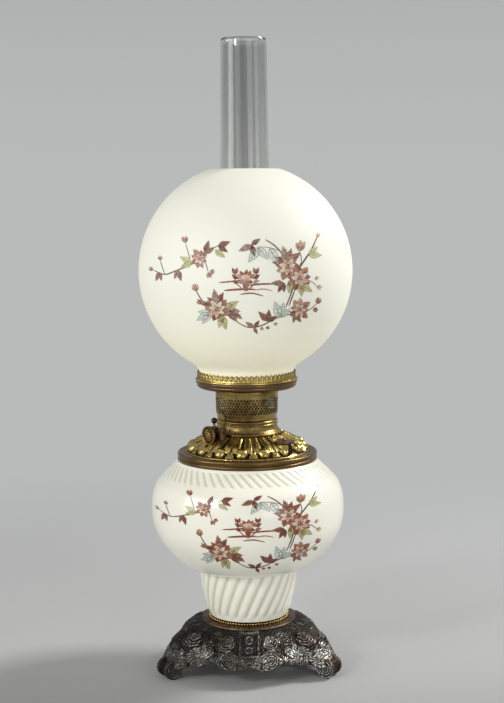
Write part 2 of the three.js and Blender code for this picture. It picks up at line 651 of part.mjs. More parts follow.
// The dome filled down to well below the flange, lifted by the seat gap, to cut what stands on it.
function domeFill() {
  const low = FONT_Z - FONT_DOME_HEIGHT;
  const core = COLLAR_NECK_BORE / 2;
  return dome([
    { radius: core, height: NECK_Z }, { radius: core, height: low },
    { radius: FONT_FLANGE_RADIUS, height: low },
  ]).translate(0, 0, SEAT_GAP);
}

const toFiller = (geometry) =>
  geometry.translate(FILLER_DISTANCE * Math.cos(FILLER_ANGLE), FILLER_DISTANCE * Math.sin(FILLER_ANGLE), 0);

function fontTop() {
  const recessRadius = FILLER_CAP_RADIUS + 2 * SEAT_GAP;
  const landingBottom = LANDING_Z - FILLER_LANDING_THICKNESS;
  const landing = disc(recessRadius + SEAT_GAP, FILLER_LANDING_THICKNESS, landingBottom, TUBE_SEGMENTS);
  const recess = disc(recessRadius, FONT_DOME_HEIGHT, LANDING_Z, TUBE_SEGMENTS);
  const boreRadius = FILLER_BORE_RADIUS + FILLER_NECK_WALL + SEAT_GAP;
  const bore = disc(boreRadius, FONT_DOME_HEIGHT, LANDING_Z - FONT_DOME_HEIGHT / 2, SMALL_SEGMENTS);
  const shell = join(dome(domeInside()), toFiller(landing));
  return cut(shell, toFiller(recess), toFiller(bore), rackSlot(), pinionCavity());
}

function fillerNeck() {
  const radius = FILLER_BORE_RADIUS + FILLER_NECK_WALL;
  return toFiller(tube(radius, FILLER_BORE_RADIUS, LANDING_Z - FILLER_NECK_DEPTH, LANDING_Z, SMALL_SEGMENTS));
}

function fillerCap() {
  const bottom = LANDING_Z + SEAT_GAP;
  const top = bottom + FILLER_CAP_THICKNESS;
  const plug = FILLER_BORE_RADIUS - SEAT_GAP;
  const knob = FILLER_KNOB_RADIUS;
  return toFiller(turned([
    [0, bottom - FILLER_PLUG_DEPTH], [plug, bottom - FILLER_PLUG_DEPTH], [plug, bottom],
    [FILLER_CAP_RADIUS, bottom], [FILLER_CAP_RADIUS, top - SEAT_GAP], [FILLER_CAP_RADIUS * CAP_TOP_SHARE, top],
    [knob, top], [knob, top + knob / 2], [knob / 2, top + knob], [0, top + knob],
  ], SMALL_SEGMENTS + HOLE_SEGMENTS));
}

function fontBowl() {
  const bore = DRAUGHT_RADIUS + SEAT_GAP;
  const place = (inset) => ([radiusShare, depthShare]) =>
    [radiusShare * FONT_BOWL_RADIUS - inset, FONT_Z - depthShare * FONT_BOWL_DEPTH + inset];
  return turned([
    [FONT_BOWL_RADIUS, FONT_Z], ...BOWL_SHARES.map(place(0)), [bore, BOWL_BOTTOM_Z],
    [bore, BOWL_BOTTOM_Z + FONT_WALL], ...BOWL_SHARES.map(place(FONT_WALL)).reverse(),
    [FONT_BOWL_RADIUS - FONT_WALL, FONT_Z],
  ], TUBE_SEGMENTS);
}

const draughtTube = () =>
  tube(DRAUGHT_RADIUS, DRAUGHT_RADIUS - TUBE_WALL, BOWL_BOTTOM_Z - DRAUGHT_TAIL, TUBE_TOP_Z);
const wickTube = () =>
  tube(WICK_TUBE_RADIUS, WICK_TUBE_RADIUS - TUBE_WALL, NECK_Z - WICK_TUBE_DEPTH, TUBE_TOP_Z);
const wick = () => tube(WICK_OUTER_RADIUS, WICK_INNER_RADIUS, WICK_Z, WICK_TOP_Z);

function burnerCollar() {
  const outside = NECK_SHARES.map(([radius, height]) =>
    [radius * COLLAR_NECK_RADIUS, NECK_Z + height * COLLAR_NECK_HEIGHT]);
  return turned([
    ...outside, [COLLAR_NECK_BORE, NECK_Z + COLLAR_NECK_HEIGHT], [COLLAR_NECK_BORE, NECK_Z],
  ]);
}

// Burner: perforated body, shade ring, crown, flame cone and chimney prongs

function galleryHoles() {
  const half = GALLERY_HOLE_SIZE / 2;
  const reach = GALLERY_RADIUS + CUT_OVERRUN;
  const drill = () => block([-reach, -half, -half], [reach, half, half]).rotateX(HALF_TURN / 4);
  const rowOf = (row) => around(GALLERY_HOLES / 2, drill, HALF_TURN).map((tool) => tool
    .rotateZ(row * HALF_TURN / GALLERY_HOLES)
    .translate(0, 0, PAN_Z - GALLERY_HOLE_TOP_DROP - row * GALLERY_HOLE_PITCH));
  return Array.from({ length: GALLERY_HOLE_ROWS }, (_, row) => rowOf(row)).flat();
}

function burnerGallery() {
  const outside = GALLERY_SHARES.map(([radius, height]) =>
    [radius * GALLERY_RADIUS, GALLERY_Z + height * GALLERY_HEIGHT]);
  const inside = GALLERY_SHARES[0][0] * GALLERY_RADIUS - GALLERY_WALL;
  const skirt = COLLAR_NECK_BORE - RUNNING_GAP;
  const skirtBottom = GALLERY_Z - GALLERY_SKIRT_DEPTH;
  const body = turned([
    ...outside, [inside, PAN_Z], [inside, GALLERY_Z + GALLERY_WALL], [skirt - GALLERY_WALL, GALLERY_Z],
    [skirt - GALLERY_WALL, skirtBottom], [skirt, skirtBottom], [skirt, GALLERY_Z],
  ]);
  return cut(body, ...galleryHoles());
}

function shadeRing() {
  const outside = PAN_SHARES.map(([radius, height]) => [radius * PAN_LIP_RADIUS, PAN_Z + height * PAN_HEIGHT]);
  const ledge = SHADE_LEDGE_SHARE * PAN_LIP_RADIUS;
  const crownSeat = CROWN_RADIUS_SHARE * PAN_LIP_RADIUS + SEAT_GAP;
  return turned([
    [PAN_HOLE_RADIUS, PAN_Z], ...outside, [crownSeat, SHADE_LEDGE_Z + SHADE_LEDGE_DROP],
    [crownSeat, SHADE_LEDGE_Z], [ledge, SHADE_LEDGE_Z], [ledge, SHADE_LEDGE_Z - SHADE_LEDGE_THICKNESS],
    [outside[0][0], PAN_Z + PAN_FLOOR], [PAN_HOLE_RADIUS, PAN_Z + PAN_FLOOR],
  ]);
}

function crown() {
  const outer = CROWN_RADIUS_SHARE * PAN_LIP_RADIUS;
  return rippled([
    { radius: outer, height: SHADE_LEDGE_Z },
    { radius: outer - CROWN_WALL / 2, height: SHADE_LEDGE_Z + CROWN_HEIGHT, up: CROWN_TOOTH_LIFT },
    { radius: outer - CROWN_WALL, height: SHADE_LEDGE_Z },
  ], 2 * CROWN_TEETH, CROWN_TEETH);
}

function flameCone() {
  const foot = PAN_HOLE_RADIUS - SEAT_GAP;
  const waist = (foot + FLAME_CONE_MOUTH_RADIUS) / 2;
  const [bottom, top] = [PAN_Z, PAN_Z + FLAME_CONE_HEIGHT];
  const shoulder = bottom + FLAME_CONE_HEIGHT * CONE_SHOULDER_SHARE;
  return turned([
    [foot, bottom], [foot, bottom + PAN_FLOOR], [waist + FLAME_CONE_WALL, shoulder],
    [FLAME_CONE_MOUTH_RADIUS + FLAME_CONE_WALL, top], [FLAME_CONE_MOUTH_RADIUS, top], [waist, shoulder],
    [foot - FLAME_CONE_WALL, bottom + PAN_FLOOR], [foot - FLAME_CONE_WALL, bottom],
  ], TUBE_SEGMENTS - HOLE_SEGMENTS);
}

function chimneyProng(index) {
  const inner = CHIMNEY_BASE_RADIUS + SEAT_GAP;
  const bottom = PAN_Z + PAN_FLOOR;
  const [outer, half] = [inner + PRONG_THICKNESS, PRONG_WIDTH / 2];
  return block([inner, -half, bottom], [outer, half, bottom + PRONG_HEIGHT])
    .rotateZ((index + 0.5) * 2 * HALF_TURN / PRONG_COUNT);
}

function flameSpreader() {
  const stem = DRAUGHT_RADIUS - TUBE_WALL - RUNNING_GAP;
  const bore = stem - SPREADER_WALL;
  const rest = TUBE_TOP_Z + SEAT_GAP;
  const neck = rest + SPREADER_WALL;
  const capBottom = neck + SPREADER_RISE;
  const capTop = capBottom + SPREADER_CAP_THICKNESS;
  const stemBottom = TUBE_TOP_Z - SPREADER_STEM_DEPTH;
  const edge = SPREADER_CAP_RADIUS;
  const body = turned([
    [0, capTop], [edge * SPREADER_TOP_SHARE, capTop], [edge, capBottom + SPREADER_CAP_THICKNESS / 3],
    [edge, capBottom], [stem, capBottom], [stem, neck], [DRAUGHT_RADIUS, neck], [DRAUGHT_RADIUS, rest],
    [stem, rest], [stem, stemBottom], [bore, stemBottom], [bore, capBottom], [0, capBottom],
  ], TUBE_SEGMENTS - HOLE_SEGMENTS);
  const half = SPREADER_RISE / 3;
  const slot = () => block([-stem - CUT_OVERRUN, -half, -half], [stem + CUT_OVERRUN, half, half])
    .translate(0, 0, neck + SPREADER_RISE / 2);
  return cut(body, ...around(SPREADER_HOLES, slot));
}

// Glass above the burner

function chimney() {
  const place = (inset) => ([radius, height]) =>
    [radius * CHIMNEY_BASE_RADIUS - inset, CHIMNEY_Z + height * CHIMNEY_HEIGHT];
  const rim = CHIMNEY_SHARES.at(-1)[0] * CHIMNEY_BASE_RADIUS - CHIMNEY_WALL / 2;
  return turned([
    ...CHIMNEY_SHARES.map(place(0)), [rim, CHIMNEY_Z + CHIMNEY_HEIGHT],
    ...CHIMNEY_INSIDE_SHARES.map(place(CHIMNEY_WALL)),
  ], TUBE_SEGMENTS);
}

function shade() {
  const arc = (radius, from, to, rows) => Array.from({ length: rows + 1 }, (_, i) => {
    const angle = from + (to - from) * i / rows;
    return [radius * Math.cos(angle), SHADE_CENTRE_Z + radius * Math.sin(angle)];
  });
  const inner = SHADE_RADIUS - SHADE_WALL;
  const neck = SHADE_FITTER_RADIUS;
  const mouth = Math.acos(SHADE_MOUTH_RADIUS / SHADE_RADIUS);
  const outside = arc(SHADE_RADIUS, -Math.acos(neck / SHADE_RADIUS), mouth, SHADE_ROWS);
  const inside = arc(inner, Math.acos((SHADE_MOUTH_RADIUS - SHADE_WALL / 2) / inner),
    -Math.acos((neck - SHADE_WALL) / inner), SHADE_INSIDE_ROWS);
  return turned([[neck, SHADE_Z], ...outside, ...inside, [neck - SHADE_WALL, SHADE_Z]], SHADE_SEGMENTS);
}

// Wick raiser, laid out with its shaft along X and turned to its place as one group

const rackSlot = () => block(
  [RACK_DISTANCE - RACK_BAR / 2 - SEAT_GAP, RACK_BACK_Y - SEAT_GAP, FONT_Z - CUT_OVERRUN],
  [RACK_DISTANCE + RACK_BAR / 2 + SEAT_GAP, SEAT_GAP - PITCH_RADIUS + ADDENDUM, KEY_SHAFT_Z + CASE_TOP_RISE],
).rotateZ(KEY_ANGLE);

function pinionCavity() {
  const half = PINION_WIDTH / 2 + RUNNING_GAP;
  const radius = PITCH_RADIUS + ADDENDUM + RUNNING_GAP;
  return bar(radius, RACK_DISTANCE - half, RACK_DISTANCE + half, KEY_SHAFT_Z).rotateZ(KEY_ANGLE);
}

function gearCase() {
  const top = FONT_Z + CASE_TOP_RISE;
  const low = FONT_Z + FONT_DOME_HEIGHT / 2;
  const outer = CASE_INNER_DISTANCE + CASE_DEPTH;
  const middle = (CASE_INNER_DISTANCE + outer) / 2;
  const column = (y, height) => disc(CASE_COLUMN_RADIUS, height - low, low).translate(middle, y, 0);
  const footSide = CASE_FOOT_WIDTH / 2 + CASE_COLUMN_RADIUS / 2;
  const footCorner = [CASE_INNER_DISTANCE + CASE_FOOT_REACH, footSide, FONT_Z + CASE_FOOT_RISE];
  const body = join(
    block([CASE_INNER_DISTANCE, RACK_CENTRE_Y, low], [outer, CASE_COLUMN_OFFSET, top - CASE_SCREW_DROP / 2]),
    column(RACK_CENTRE_Y, top), column(CASE_COLUMN_OFFSET, top),
    block([CASE_INNER_DISTANCE, -CASE_FOOT_WIDTH / 2, low], footCorner),
  ).rotateZ(KEY_ANGLE);
  const shaftRoom = KEY_SHAFT_RADIUS + RUNNING_GAP;
  const bore = bar(shaftRoom, KEY_SHAFT_START - RUNNING_GAP, THUMBWHEEL_DISTANCE, KEY_SHAFT_Z)
    .rotateZ(KEY_ANGLE);
  const neckRoom = COLLAR_NECK_RADIUS + SEAT_GAP;
  const neckClear = disc(neckRoom, 2 * FONT_DOME_HEIGHT, low - CUT_OVERRUN, ROUND_SEGMENTS);
  return cut(body, domeFill(), pinionCavity(), bore, rackSlot(), neckClear);
}

function pinion() {
  const points = [];
  for (let i = 0; i < PINION_TEETH; i += 1) {
    const middle = (2 * HALF_TURN * i) / PINION_TEETH + HALF_TURN;
    const corner = (radius, half) => [radius * Math.cos(middle + half), radius * Math.sin(middle + half)];
    const rootHalf = ROOT_HALF_SHARE * TOOTH_PITCH / PITCH_RADIUS;
    const tipHalf = TIP_HALF_SHARE * TOOTH_PITCH / PITCH_RADIUS;
    points.push(corner(PITCH_RADIUS - DEDENDUM, -rootHalf), corner(PITCH_RADIUS + ADDENDUM, -tipHalf));
    points.push(corner(PITCH_RADIUS + ADDENDUM, tipHalf), corner(PITCH_RADIUS - DEDENDUM, rootHalf));
  }
  const gear = prism(points, PINION_WIDTH).rotateX(HALF_TURN / 2).rotateZ(HALF_TURN / 2)
    .translate(RACK_DISTANCE - PINION_WIDTH / 2, 0, KEY_SHAFT_Z);
  return cut(gear, bar(KEY_SHAFT_RADIUS + SEAT_GAP, 0, THUMBWHEEL_DISTANCE, KEY_SHAFT_Z));
}

function rackRod() {
  const top = FONT_Z + RACK_TOP_RISE;
  const bottom = WICK_Z - WICK_CARRIER_HEIGHT + WICK_ARM_HEIGHT + SEAT_GAP;
  const back = RACK_BACK_Y;
  const root = -(PITCH_RADIUS + DEDENDUM);
  const tip = -(PITCH_RADIUS - ADDENDUM);
  const points = [[back, bottom], [root, bottom]];
  const first = KEY_SHAFT_Z + TOOTH_PITCH / 2 - TEETH_BELOW_SHAFT * TOOTH_PITCH;
  for (let i = 0; i < RACK_TEETH; i += 1) {
    const middle = first + i * TOOTH_PITCH;
    points.push([root, middle - ROOT_HALF_SHARE * TOOTH_PITCH], [tip, middle - TIP_HALF_SHARE * TOOTH_PITCH]);
    points.push([tip, middle + TIP_HALF_SHARE * TOOTH_PITCH], [root, middle + ROOT_HALF_SHARE * TOOTH_PITCH]);
  }
  points.push([root, top], [back, top]);
  return prism(points, RACK_BAR).rotateX(HALF_TURN / 2).rotateZ(HALF_TURN / 2)
    .translate(RACK_DISTANCE - RACK_BAR / 2, 0, 0);
}

function rackKnob() {
  const bottom = FONT_Z + RACK_TOP_RISE + SEAT_GAP;
  const centre = bottom + RACK_KNOB_STEM + RACK_KNOB_RADIUS * KNOB_SEAT_SHARE;
  const ball = new THREE.SphereGeometry(RACK_KNOB_RADIUS, SMALL_SEGMENTS, HOLE_SEGMENTS)
    .rotateX(HALF_TURN / 2).translate(0, 0, centre);
  const stem = disc(RACK_BACK / 2, centre - bottom, bottom, HOLE_SEGMENTS);
  return join(ball, stem).translate(RACK_DISTANCE, RACK_CENTRE_Y, 0);
}

function wickCarrier() {
  const bottom = WICK_Z - WICK_CARRIER_HEIGHT;
  const ring = tube(WICK_OUTER_RADIUS, WICK_INNER_RADIUS, bottom, WICK_Z);
  const arm = block(
    [(WICK_INNER_RADIUS + WICK_OUTER_RADIUS) / 2, RACK_CENTRE_Y - WICK_ARM_WIDTH / 2, bottom],
    [RACK_DISTANCE + RACK_BAR, RACK_CENTRE_Y + WICK_ARM_WIDTH / 2, bottom + WICK_ARM_HEIGHT],
  );
  return join(ring, arm);
}

const keyShaft = () => bar(KEY_SHAFT_RADIUS, KEY_SHAFT_START, THUMBWHEEL_DISTANCE - SEAT_GAP, KEY_SHAFT_Z);

function packingNut() {
  const from = CASE_INNER_DISTANCE + CASE_DEPTH / 2 + CASE_COLUMN_RADIUS + SEAT_GAP;
  const nut = bar(PACKING_NUT_RADIUS, from, from + PACKING_NUT_LENGTH, KEY_SHAFT_Z, 6);
  return cut(nut, bar(KEY_SHAFT_RADIUS + RUNNING_GAP, 0, THUMBWHEEL_DISTANCE, KEY_SHAFT_Z));
}

function caseScrew() {
  const side = CASE_COLUMN_OFFSET + CASE_COLUMN_RADIUS + SEAT_GAP;
  const middle = CASE_INNER_DISTANCE + CASE_DEPTH / 2;
  return disc(CASE_SCREW_RADIUS, CASE_SCREW_LENGTH, side).rotateX(-HALF_TURN / 2)
    .translate(middle, 0, FONT_Z + CASE_TOP_RISE - CASE_SCREW_DROP);
}

function thumbwheel() {
  const [back, front] = [THUMBWHEEL_DISTANCE, THUMBWHEEL_DISTANCE + THUMBWHEEL_THICKNESS];
  const face = THUMBWHEEL_SHARES.map(([radius, sunk]) =>
    [radius * THUMBWHEEL_RADIUS, front - sunk * THUMBWHEEL_RELIEF]);
  return turned([[0, back], [THUMBWHEEL_RADIUS, back], ...face], TUBE_SEGMENTS)
    .rotateY(HALF_TURN / 2).translate(0, 0, KEY_SHAFT_Z);
}

// Assembly

const lamp = new THREE.Group();
const wickRaiser = new THREE.Group();
wickRaiser.rotation.z = KEY_ANGLE;
lamp.add(wickRaiser);

function addPiece(name, geometry, material, parent = lamp) {
  const mesh = new THREE.Mesh(geometry, material);
  mesh.name = name;
  parent.add(mesh);
}

addPiece('cast_base', castBase(), castMetal);
addPiece('beaded_ring', beadedRing(), brass);
addPiece('vase', vase(), opalGlass);
addPiece('collar_ring', collarRing(), darkBrass);
addPiece('clamp_plate', clampPlate(), brass);
addPiece('clamp_rod', clampRod(), steel);
addPiece('clamp_washer', washer(), steel);
addPiece('lower_nut', rodNut(HUB_BOTTOM_Z - WASHER_THICKNESS - NUT_HEIGHT), steel);
addPiece('upper_nut', rodNut(CLAMP_TOP_Z), steel);

addPiece('font_bowl', fontBowl(), brass);
addPiece('font_top', fontTop(), brass);
addPiece('draught_tube', draughtTube(), brass);
addPiece('wick_tube', wickTube(), brass);
addPiece('burner_collar', burnerCollar(), brass);
addPiece('filler_neck', fillerNeck(), brass);
addPiece('gear_case', gearCase(), darkBrass);
addPiece('packing_nut', packingNut(), brass, wickRaiser);
addPiece('case_screw', caseScrew(), darkBrass, wickRaiser);
addPiece('filler_cap', fillerCap(), darkBrass);

addPiece('key_shaft', keyShaft(), brass, wickRaiser);
addPiece('pinion', pinion(), brass, wickRaiser);
addPiece('thumbwheel', thumbwheel(), brass, wickRaiser);
addPiece('rack_rod', rackRod(), brass, wickRaiser);
addPiece('rack_knob', rackKnob(), darkBrass, wickRaiser);
addPiece('wick_carrier', wickCarrier(), brass, wickRaiser);
addPiece('wick', wick(), cotton);

addPiece('flame_spreader', flameSpreader(), brass);
addPiece('burner_gallery', burnerGallery(), brass);
addPiece('shade_ring', shadeRing(), copperBrass);
addPiece('shade_crown', crown(), brass);
addPiece('flame_cone', flameCone(), brass);
for (let i = 0; i < PRONG_COUNT; i += 1) addPiece(`chimney_prong_${i + 1}`, chimneyProng(i), brass);

addPiece('chimney', chimney(), clearGlass);
addPiece('shade', shade(), satinGlass);

export default lamp;
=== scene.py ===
# %% [markdown]
# # A parlor lamp, dressed in Blender
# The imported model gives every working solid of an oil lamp: a cast openwork base, a glass vase, a brass
# oil font with a centre draught burner, a glass chimney and a ball shade. This file gives them the looks.
# The frame is loaded first, because each piece takes its place from it and rides on one of its bodies.

# %% Load the frame
import json
import math
import random

import bmesh
import bpy
from mathutils import Matrix, Vector


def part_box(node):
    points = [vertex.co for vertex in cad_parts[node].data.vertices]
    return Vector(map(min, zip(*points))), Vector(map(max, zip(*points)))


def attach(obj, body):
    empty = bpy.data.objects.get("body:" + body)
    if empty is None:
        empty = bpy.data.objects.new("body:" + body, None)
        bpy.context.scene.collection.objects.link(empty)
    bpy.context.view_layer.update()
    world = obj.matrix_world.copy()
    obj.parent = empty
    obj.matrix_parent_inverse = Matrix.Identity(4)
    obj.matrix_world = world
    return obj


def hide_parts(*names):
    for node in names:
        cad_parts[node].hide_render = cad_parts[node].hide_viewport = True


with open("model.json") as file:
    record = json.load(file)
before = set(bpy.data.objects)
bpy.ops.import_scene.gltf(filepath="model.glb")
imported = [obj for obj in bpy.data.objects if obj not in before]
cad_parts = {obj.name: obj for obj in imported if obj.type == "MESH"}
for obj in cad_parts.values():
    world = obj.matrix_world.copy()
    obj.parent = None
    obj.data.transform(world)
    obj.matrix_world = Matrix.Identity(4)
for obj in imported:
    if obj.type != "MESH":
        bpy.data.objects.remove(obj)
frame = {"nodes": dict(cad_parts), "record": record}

MM = 0.001
FULL_TURN = 2 * math.pi
scene = bpy.context.scene
nodes = frame["nodes"]
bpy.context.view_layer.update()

# %% [markdown]
# The photograph was taken with a longish lens from slightly above. The camera stands 1.5 m in front of
# the lamp, a little above its middle, and looks a few degrees down. A small turn and a small roll put
# the lamp's axis where the picture has it. Setting these as numbers is surer than aiming by eye.

# %% Camera
FRAME_HEIGHT_PIXELS = 703
FOCAL_PIXELS = 1400
SENSOR_WIDTH = 36
VIEW_DEPTH = 100
CAMERA_DISTANCE = 1.5
CAMERA_HEIGHT = 0.507
CAMERA_PITCH = math.radians(6.2)
CAMERA_YAW = math.radians(-0.29)
CAMERA_ROLL = math.radians(0.52)

bpy.ops.object.select_all(action="DESELECT")
bpy.ops.object.camera_add(location=(0, -CAMERA_DISTANCE, CAMERA_HEIGHT))
camera = bpy.context.object
camera.name = "photo_camera"
camera.rotation_euler = (math.pi / 2 - CAMERA_PITCH, CAMERA_ROLL, CAMERA_YAW)
camera.data.sensor_width = SENSOR_WIDTH
camera.data.lens = SENSOR_WIDTH * FOCAL_PIXELS / FRAME_HEIGHT_PIXELS
camera.data.clip_end = VIEW_DEPTH
scene.camera = camera
print("lens", round(camera.data.lens, 2), "mm")

# %% [markdown]
# A material is easier to read as a sum than as a web of nodes. `Signal` wraps the output of a node, so
# that `1 - mask` or `noise * 0.2 + 0.4` adds the Math nodes by itself, and `Finish.node` makes any other
# node from its settings and inputs. The alternative, placing nodes one by one, would hide the idea.

# %% Shader helpers
class Signal:
    """A node's output that can be added, multiplied and compared."""

    def __init__(self, finish, socket):
        self.finish, self.socket = finish, socket

    def math(self, operation, *others, first=None):
        values = [self, *others] if first is None else [first, self]
        return self.finish.node("Math", {"operation": operation}, dict(enumerate(values)))

    def __add__(self, other): return self.math("ADD", other)
    def __radd__(self, other): return self.math("ADD", other)
    def __mul__(self, other): return self.math("MULTIPLY", other)
    def __rmul__(self, other): return self.math("MULTIPLY", other)
    def __sub__(self, other): return self.math("SUBTRACT", other)
    def __rsub__(self, other): return self.math("SUBTRACT", first=other)

    def between(self, low, high):
        """0 below low, 1 above high and a soft step between them."""
        settings = {"interpolation_type": "SMOOTHSTEP"}
        return self.finish.node("MapRange", settings, {"Value": self, "From Min": low, "From Max": high})


class Finish:
    """A material that is being built around one Principled shader."""

    def __init__(self, name, **surface):
        self.material = bpy.data.materials.new(name)
        self.material.use_nodes = True
        self.tree = self.material.node_tree
        self.shader = self.tree.nodes["Principled BSDF"]
        self.surface(**surface)

    def feed(self, socket, value):
        if isinstance(value, Signal):
            self.tree.links.new(value.socket, socket)
        else:
            socket.default_value = value

    def node(self, kind, settings=None, inputs=None, output=0):
        node = self.tree.nodes.new("ShaderNode" + kind)
        for name, value in (settings or {}).items():
            setattr(node, name, value)
        for name, value in (inputs or {}).items():
            self.feed(node.inputs[name], value)
        return Signal(self, node.outputs[output])

    def surface(self, **inputs):
        for name, value in inputs.items():
            value = opaque(value) if name in ("color", "glow") else value
            self.feed(self.shader.inputs[SOCKETS[name]], value)

    def place(self):
        return self.node("TexCoord", output=3)

    def noise(self, scale, detail=3, stretch=(1, 1, 1)):
        place = self.node("Mapping", {}, {"Vector": self.place(), "Scale": stretch})
        return self.node("TexNoise", {}, {"Vector": place, "Scale": scale, "Detail": detail})

    def mark(self, name):
        return self.node("Attribute", {"attribute_name": name}, output=2)

    def mix(self, factor, low, high):
        inputs = {0: factor, 6: opaque(low), 7: opaque(high)}
        return self.node("Mix", {"data_type": "RGBA"}, inputs, output=2)

    def bump(self, height, distance, strength=1.0):
        inputs = {"Height": height, "Distance": distance, "Strength": strength}
        self.surface(normal=self.node("Bump", {}, inputs))


SOCKETS = {
    "color": "Base Color", "rough": "Roughness", "metal": "Metallic", "coat": "Coat Weight",
    "coat_rough": "Coat Roughness", "glass": "Transmission Weight", "ior": "IOR",
    "normal": "Normal", "gloss": "Specular IOR Level", "glow": "Emission Color",
    "glow_level": "Emission Strength",
}


def opaque(colour):
    """A plain colour with a fourth value of 1, or a signal as it is."""
    return colour if isinstance(colour, Signal) else (*colour, 1)


def srgb(red, green, blue):
    """A colour as the photograph's 0 to 255 values, in the linear values that Blender wants."""
    shares = (red / 255, green / 255, blue / 255)
    return tuple(v / 12.92 if v < 0.043 else ((v + 0.055) / 1.055) ** 2.4 for v in shares)


print("ivory as linear values", [round(v, 3) for v in srgb(243, 240, 226)])

# %% [markdown]
# The lamp stands on a pale seamless ground. A very large floor catches the shadow, and its grey is
# painted darker toward the front, as painted shade where the light falls off. The world is the same grey
# where the camera, the metal and the glass see it, so that no horizon shows. The main lamp is to the right
# and a little behind, which throws the shadow to the front left. Three weak ones, front left, low in front
# and far left, lift the dark side as the light walls of a room would.

# %% Floor, world and lamps
FLOOR_SIZE = 120
# The front grey is painted shade: the floor is darker toward the camera, where the light falls off.
FLOOR_GREY, FLOOR_FRONT_SHADE_GREY = 0.51, 0.42
FLOOR_GREENER = 1.01
FLOOR_PAINTED_SHADE = (-0.22, 0.06)
FLOOR_FADE = (0.35, 1.2)
SKY_FRONT, SKY_BACK, SKY_TOP_SHARE = 0.9, 0.55, 0.18
BACKGROUND_LOW = srgb(185, 187, 186)
BACKGROUND_HIGH = srgb(170, 171, 171)

bpy.ops.mesh.primitive_plane_add(size=FLOOR_SIZE)
floor = bpy.context.object
floor.name = "floor"
paper = Finish("floor_paper", rough=0.9, gloss=0.2)
# ahead is 0 in front and 1 behind; it mixes in the painted shade at the front.
ahead = paper.node("SeparateXYZ", {}, {0: paper.place()}, output=1).between(*FLOOR_PAINTED_SHADE)
greys = [(grey, grey * FLOOR_GREENER, grey) for grey in (FLOOR_FRONT_SHADE_GREY, FLOOR_GREY)]
paper.surface(color=paper.mix(ahead, *greys))
flat_place = paper.node("VectorMath", {"operation": "MULTIPLY"}, {0: paper.place(), 1: (1, 1, 0)})
distance = paper.node("VectorMath", {"operation": "LENGTH"}, {0: flat_place}, output=1)
glow = paper.node("Emission", {}, {"Color": (*BACKGROUND_LOW, 1)})
ground = Signal(paper, paper.shader.outputs[0])
faded = paper.node("MixShader", {}, {0: distance.between(*FLOOR_FADE), 1: ground, 2: glow})
paper.tree.links.new(faded.socket, paper.tree.nodes["Material Output"].inputs["Surface"])
floor.data.materials.append(paper.material)

scene.world = scene.world or bpy.data.worlds.new("studio")
scene.world.use_nodes = True


class Sky(Finish):
    """The world's nodes, with the same helpers as a material."""

    def __init__(self, world):
        self.tree = world.node_tree
        self.tree.nodes.clear()


sky = Sky(scene.world)
rays = sky.node("LightPath")
ray_node = rays.socket.node
seen = Signal(sky, ray_node.outputs["Is Camera Ray"]) + Signal(sky, ray_node.outputs["Is Glossy Ray"])
seen = (seen + Signal(sky, ray_node.outputs["Is Transmission Ray"])).math("MINIMUM", 1.0)
direction = sky.node("TexCoord", output=0)
parts = sky.node("SeparateXYZ", {}, {0: direction})
rise = Signal(sky, parts.socket.node.outputs["Z"])
behind = Signal(sky, parts.socket.node.outputs["Y"]).between(-1.0, 1.0)
backdrop = sky.mix(rise.between(0.0, 0.25), BACKGROUND_LOW, BACKGROUND_HIGH)
level = (behind * (SKY_BACK - SKY_FRONT) + SKY_FRONT) * (rise.between(0.1, 1.0) * (SKY_TOP_SHARE - 1) + 1)
light = sky.node("CombineColor", {}, {0: level, 1: level, 2: level})
colour = sky.mix(seen, light, backdrop)
background = sky.node("Background", {}, {"Color": colour, "Strength": 1.0})
out = sky.tree.nodes.new("ShaderNodeOutputWorld")
sky.tree.links.new(background.socket, out.inputs["Surface"])

LAMP_CENTRE = Vector((0, 0, 0.35))


def studio_lamp(name, direction, distance, size, power, height_size=None):
    """A soft rectangular lamp that looks at the middle of the object."""
    place = LAMP_CENTRE + Vector(direction).normalized() * distance
    bpy.ops.object.light_add(type="AREA", location=place)
    lamp = bpy.context.object
    lamp.name = name
    lamp.data.shape = "RECTANGLE"
    lamp.data.size, lamp.data.size_y = size, height_size or size
    lamp.data.energy = power
    lamp.rotation_euler = (LAMP_CENTRE - place).to_track_quat("-Z", "Y").to_euler()
    return lamp


studio_lamp("key_lamp", (0.73, 0.28, 0.62), 2.8, 0.75, 60, 0.85)
studio_lamp("front_lamp", (-0.61, -0.69, 0.37), 2.0, 0.28, 8)
studio_lamp("low_lamp", (0.5, -0.86, 0.1), 2.4, 1.1, 7)
studio_lamp("left_lamp", (-0.9, -0.36, 0.22), 2.4, 1.1, 12)
scene.view_settings.view_transform = "Standard"
print("floor", FLOOR_SIZE, "m, sky light", SKY_BACK, "to", SKY_FRONT)

# %% [markdown]
# Nearly every piece of an oil lamp is spun or blown, so one helper does most of the modelling. It starts
# from a small plane, merges it to a vertex, extrudes that along the profile and spins the line round the
# lamp's axis, as one would by hand. A list of points is easier to check against a picture than a curve.

# %% Turning helpers
SMOOTH_ANGLE = math.radians(38)


def start_clean():
    """Leaves edit mode and lets go of everything, because an operator acts on all that is selected."""
    if bpy.context.object and bpy.context.object.mode != "OBJECT":
        bpy.ops.object.mode_set(mode="OBJECT")
    bpy.ops.object.select_all(action="DESELECT")
    bpy.context.tool_settings.mesh_select_mode = (True, False, False)


def finish_mesh(name):
    """Closes the mesh being edited, turns its faces outwards and shades it smooth."""
    bpy.ops.mesh.select_all(action="SELECT")
    bpy.ops.mesh.remove_doubles(threshold=MM / 1000)
    bpy.ops.mesh.normals_make_consistent(inside=False)
    bpy.ops.object.mode_set(mode="OBJECT")
    piece = bpy.context.object
    piece.name = piece.data.name = name
    bpy.ops.object.shade_smooth_by_angle(angle=SMOOTH_ANGLE)
    return piece


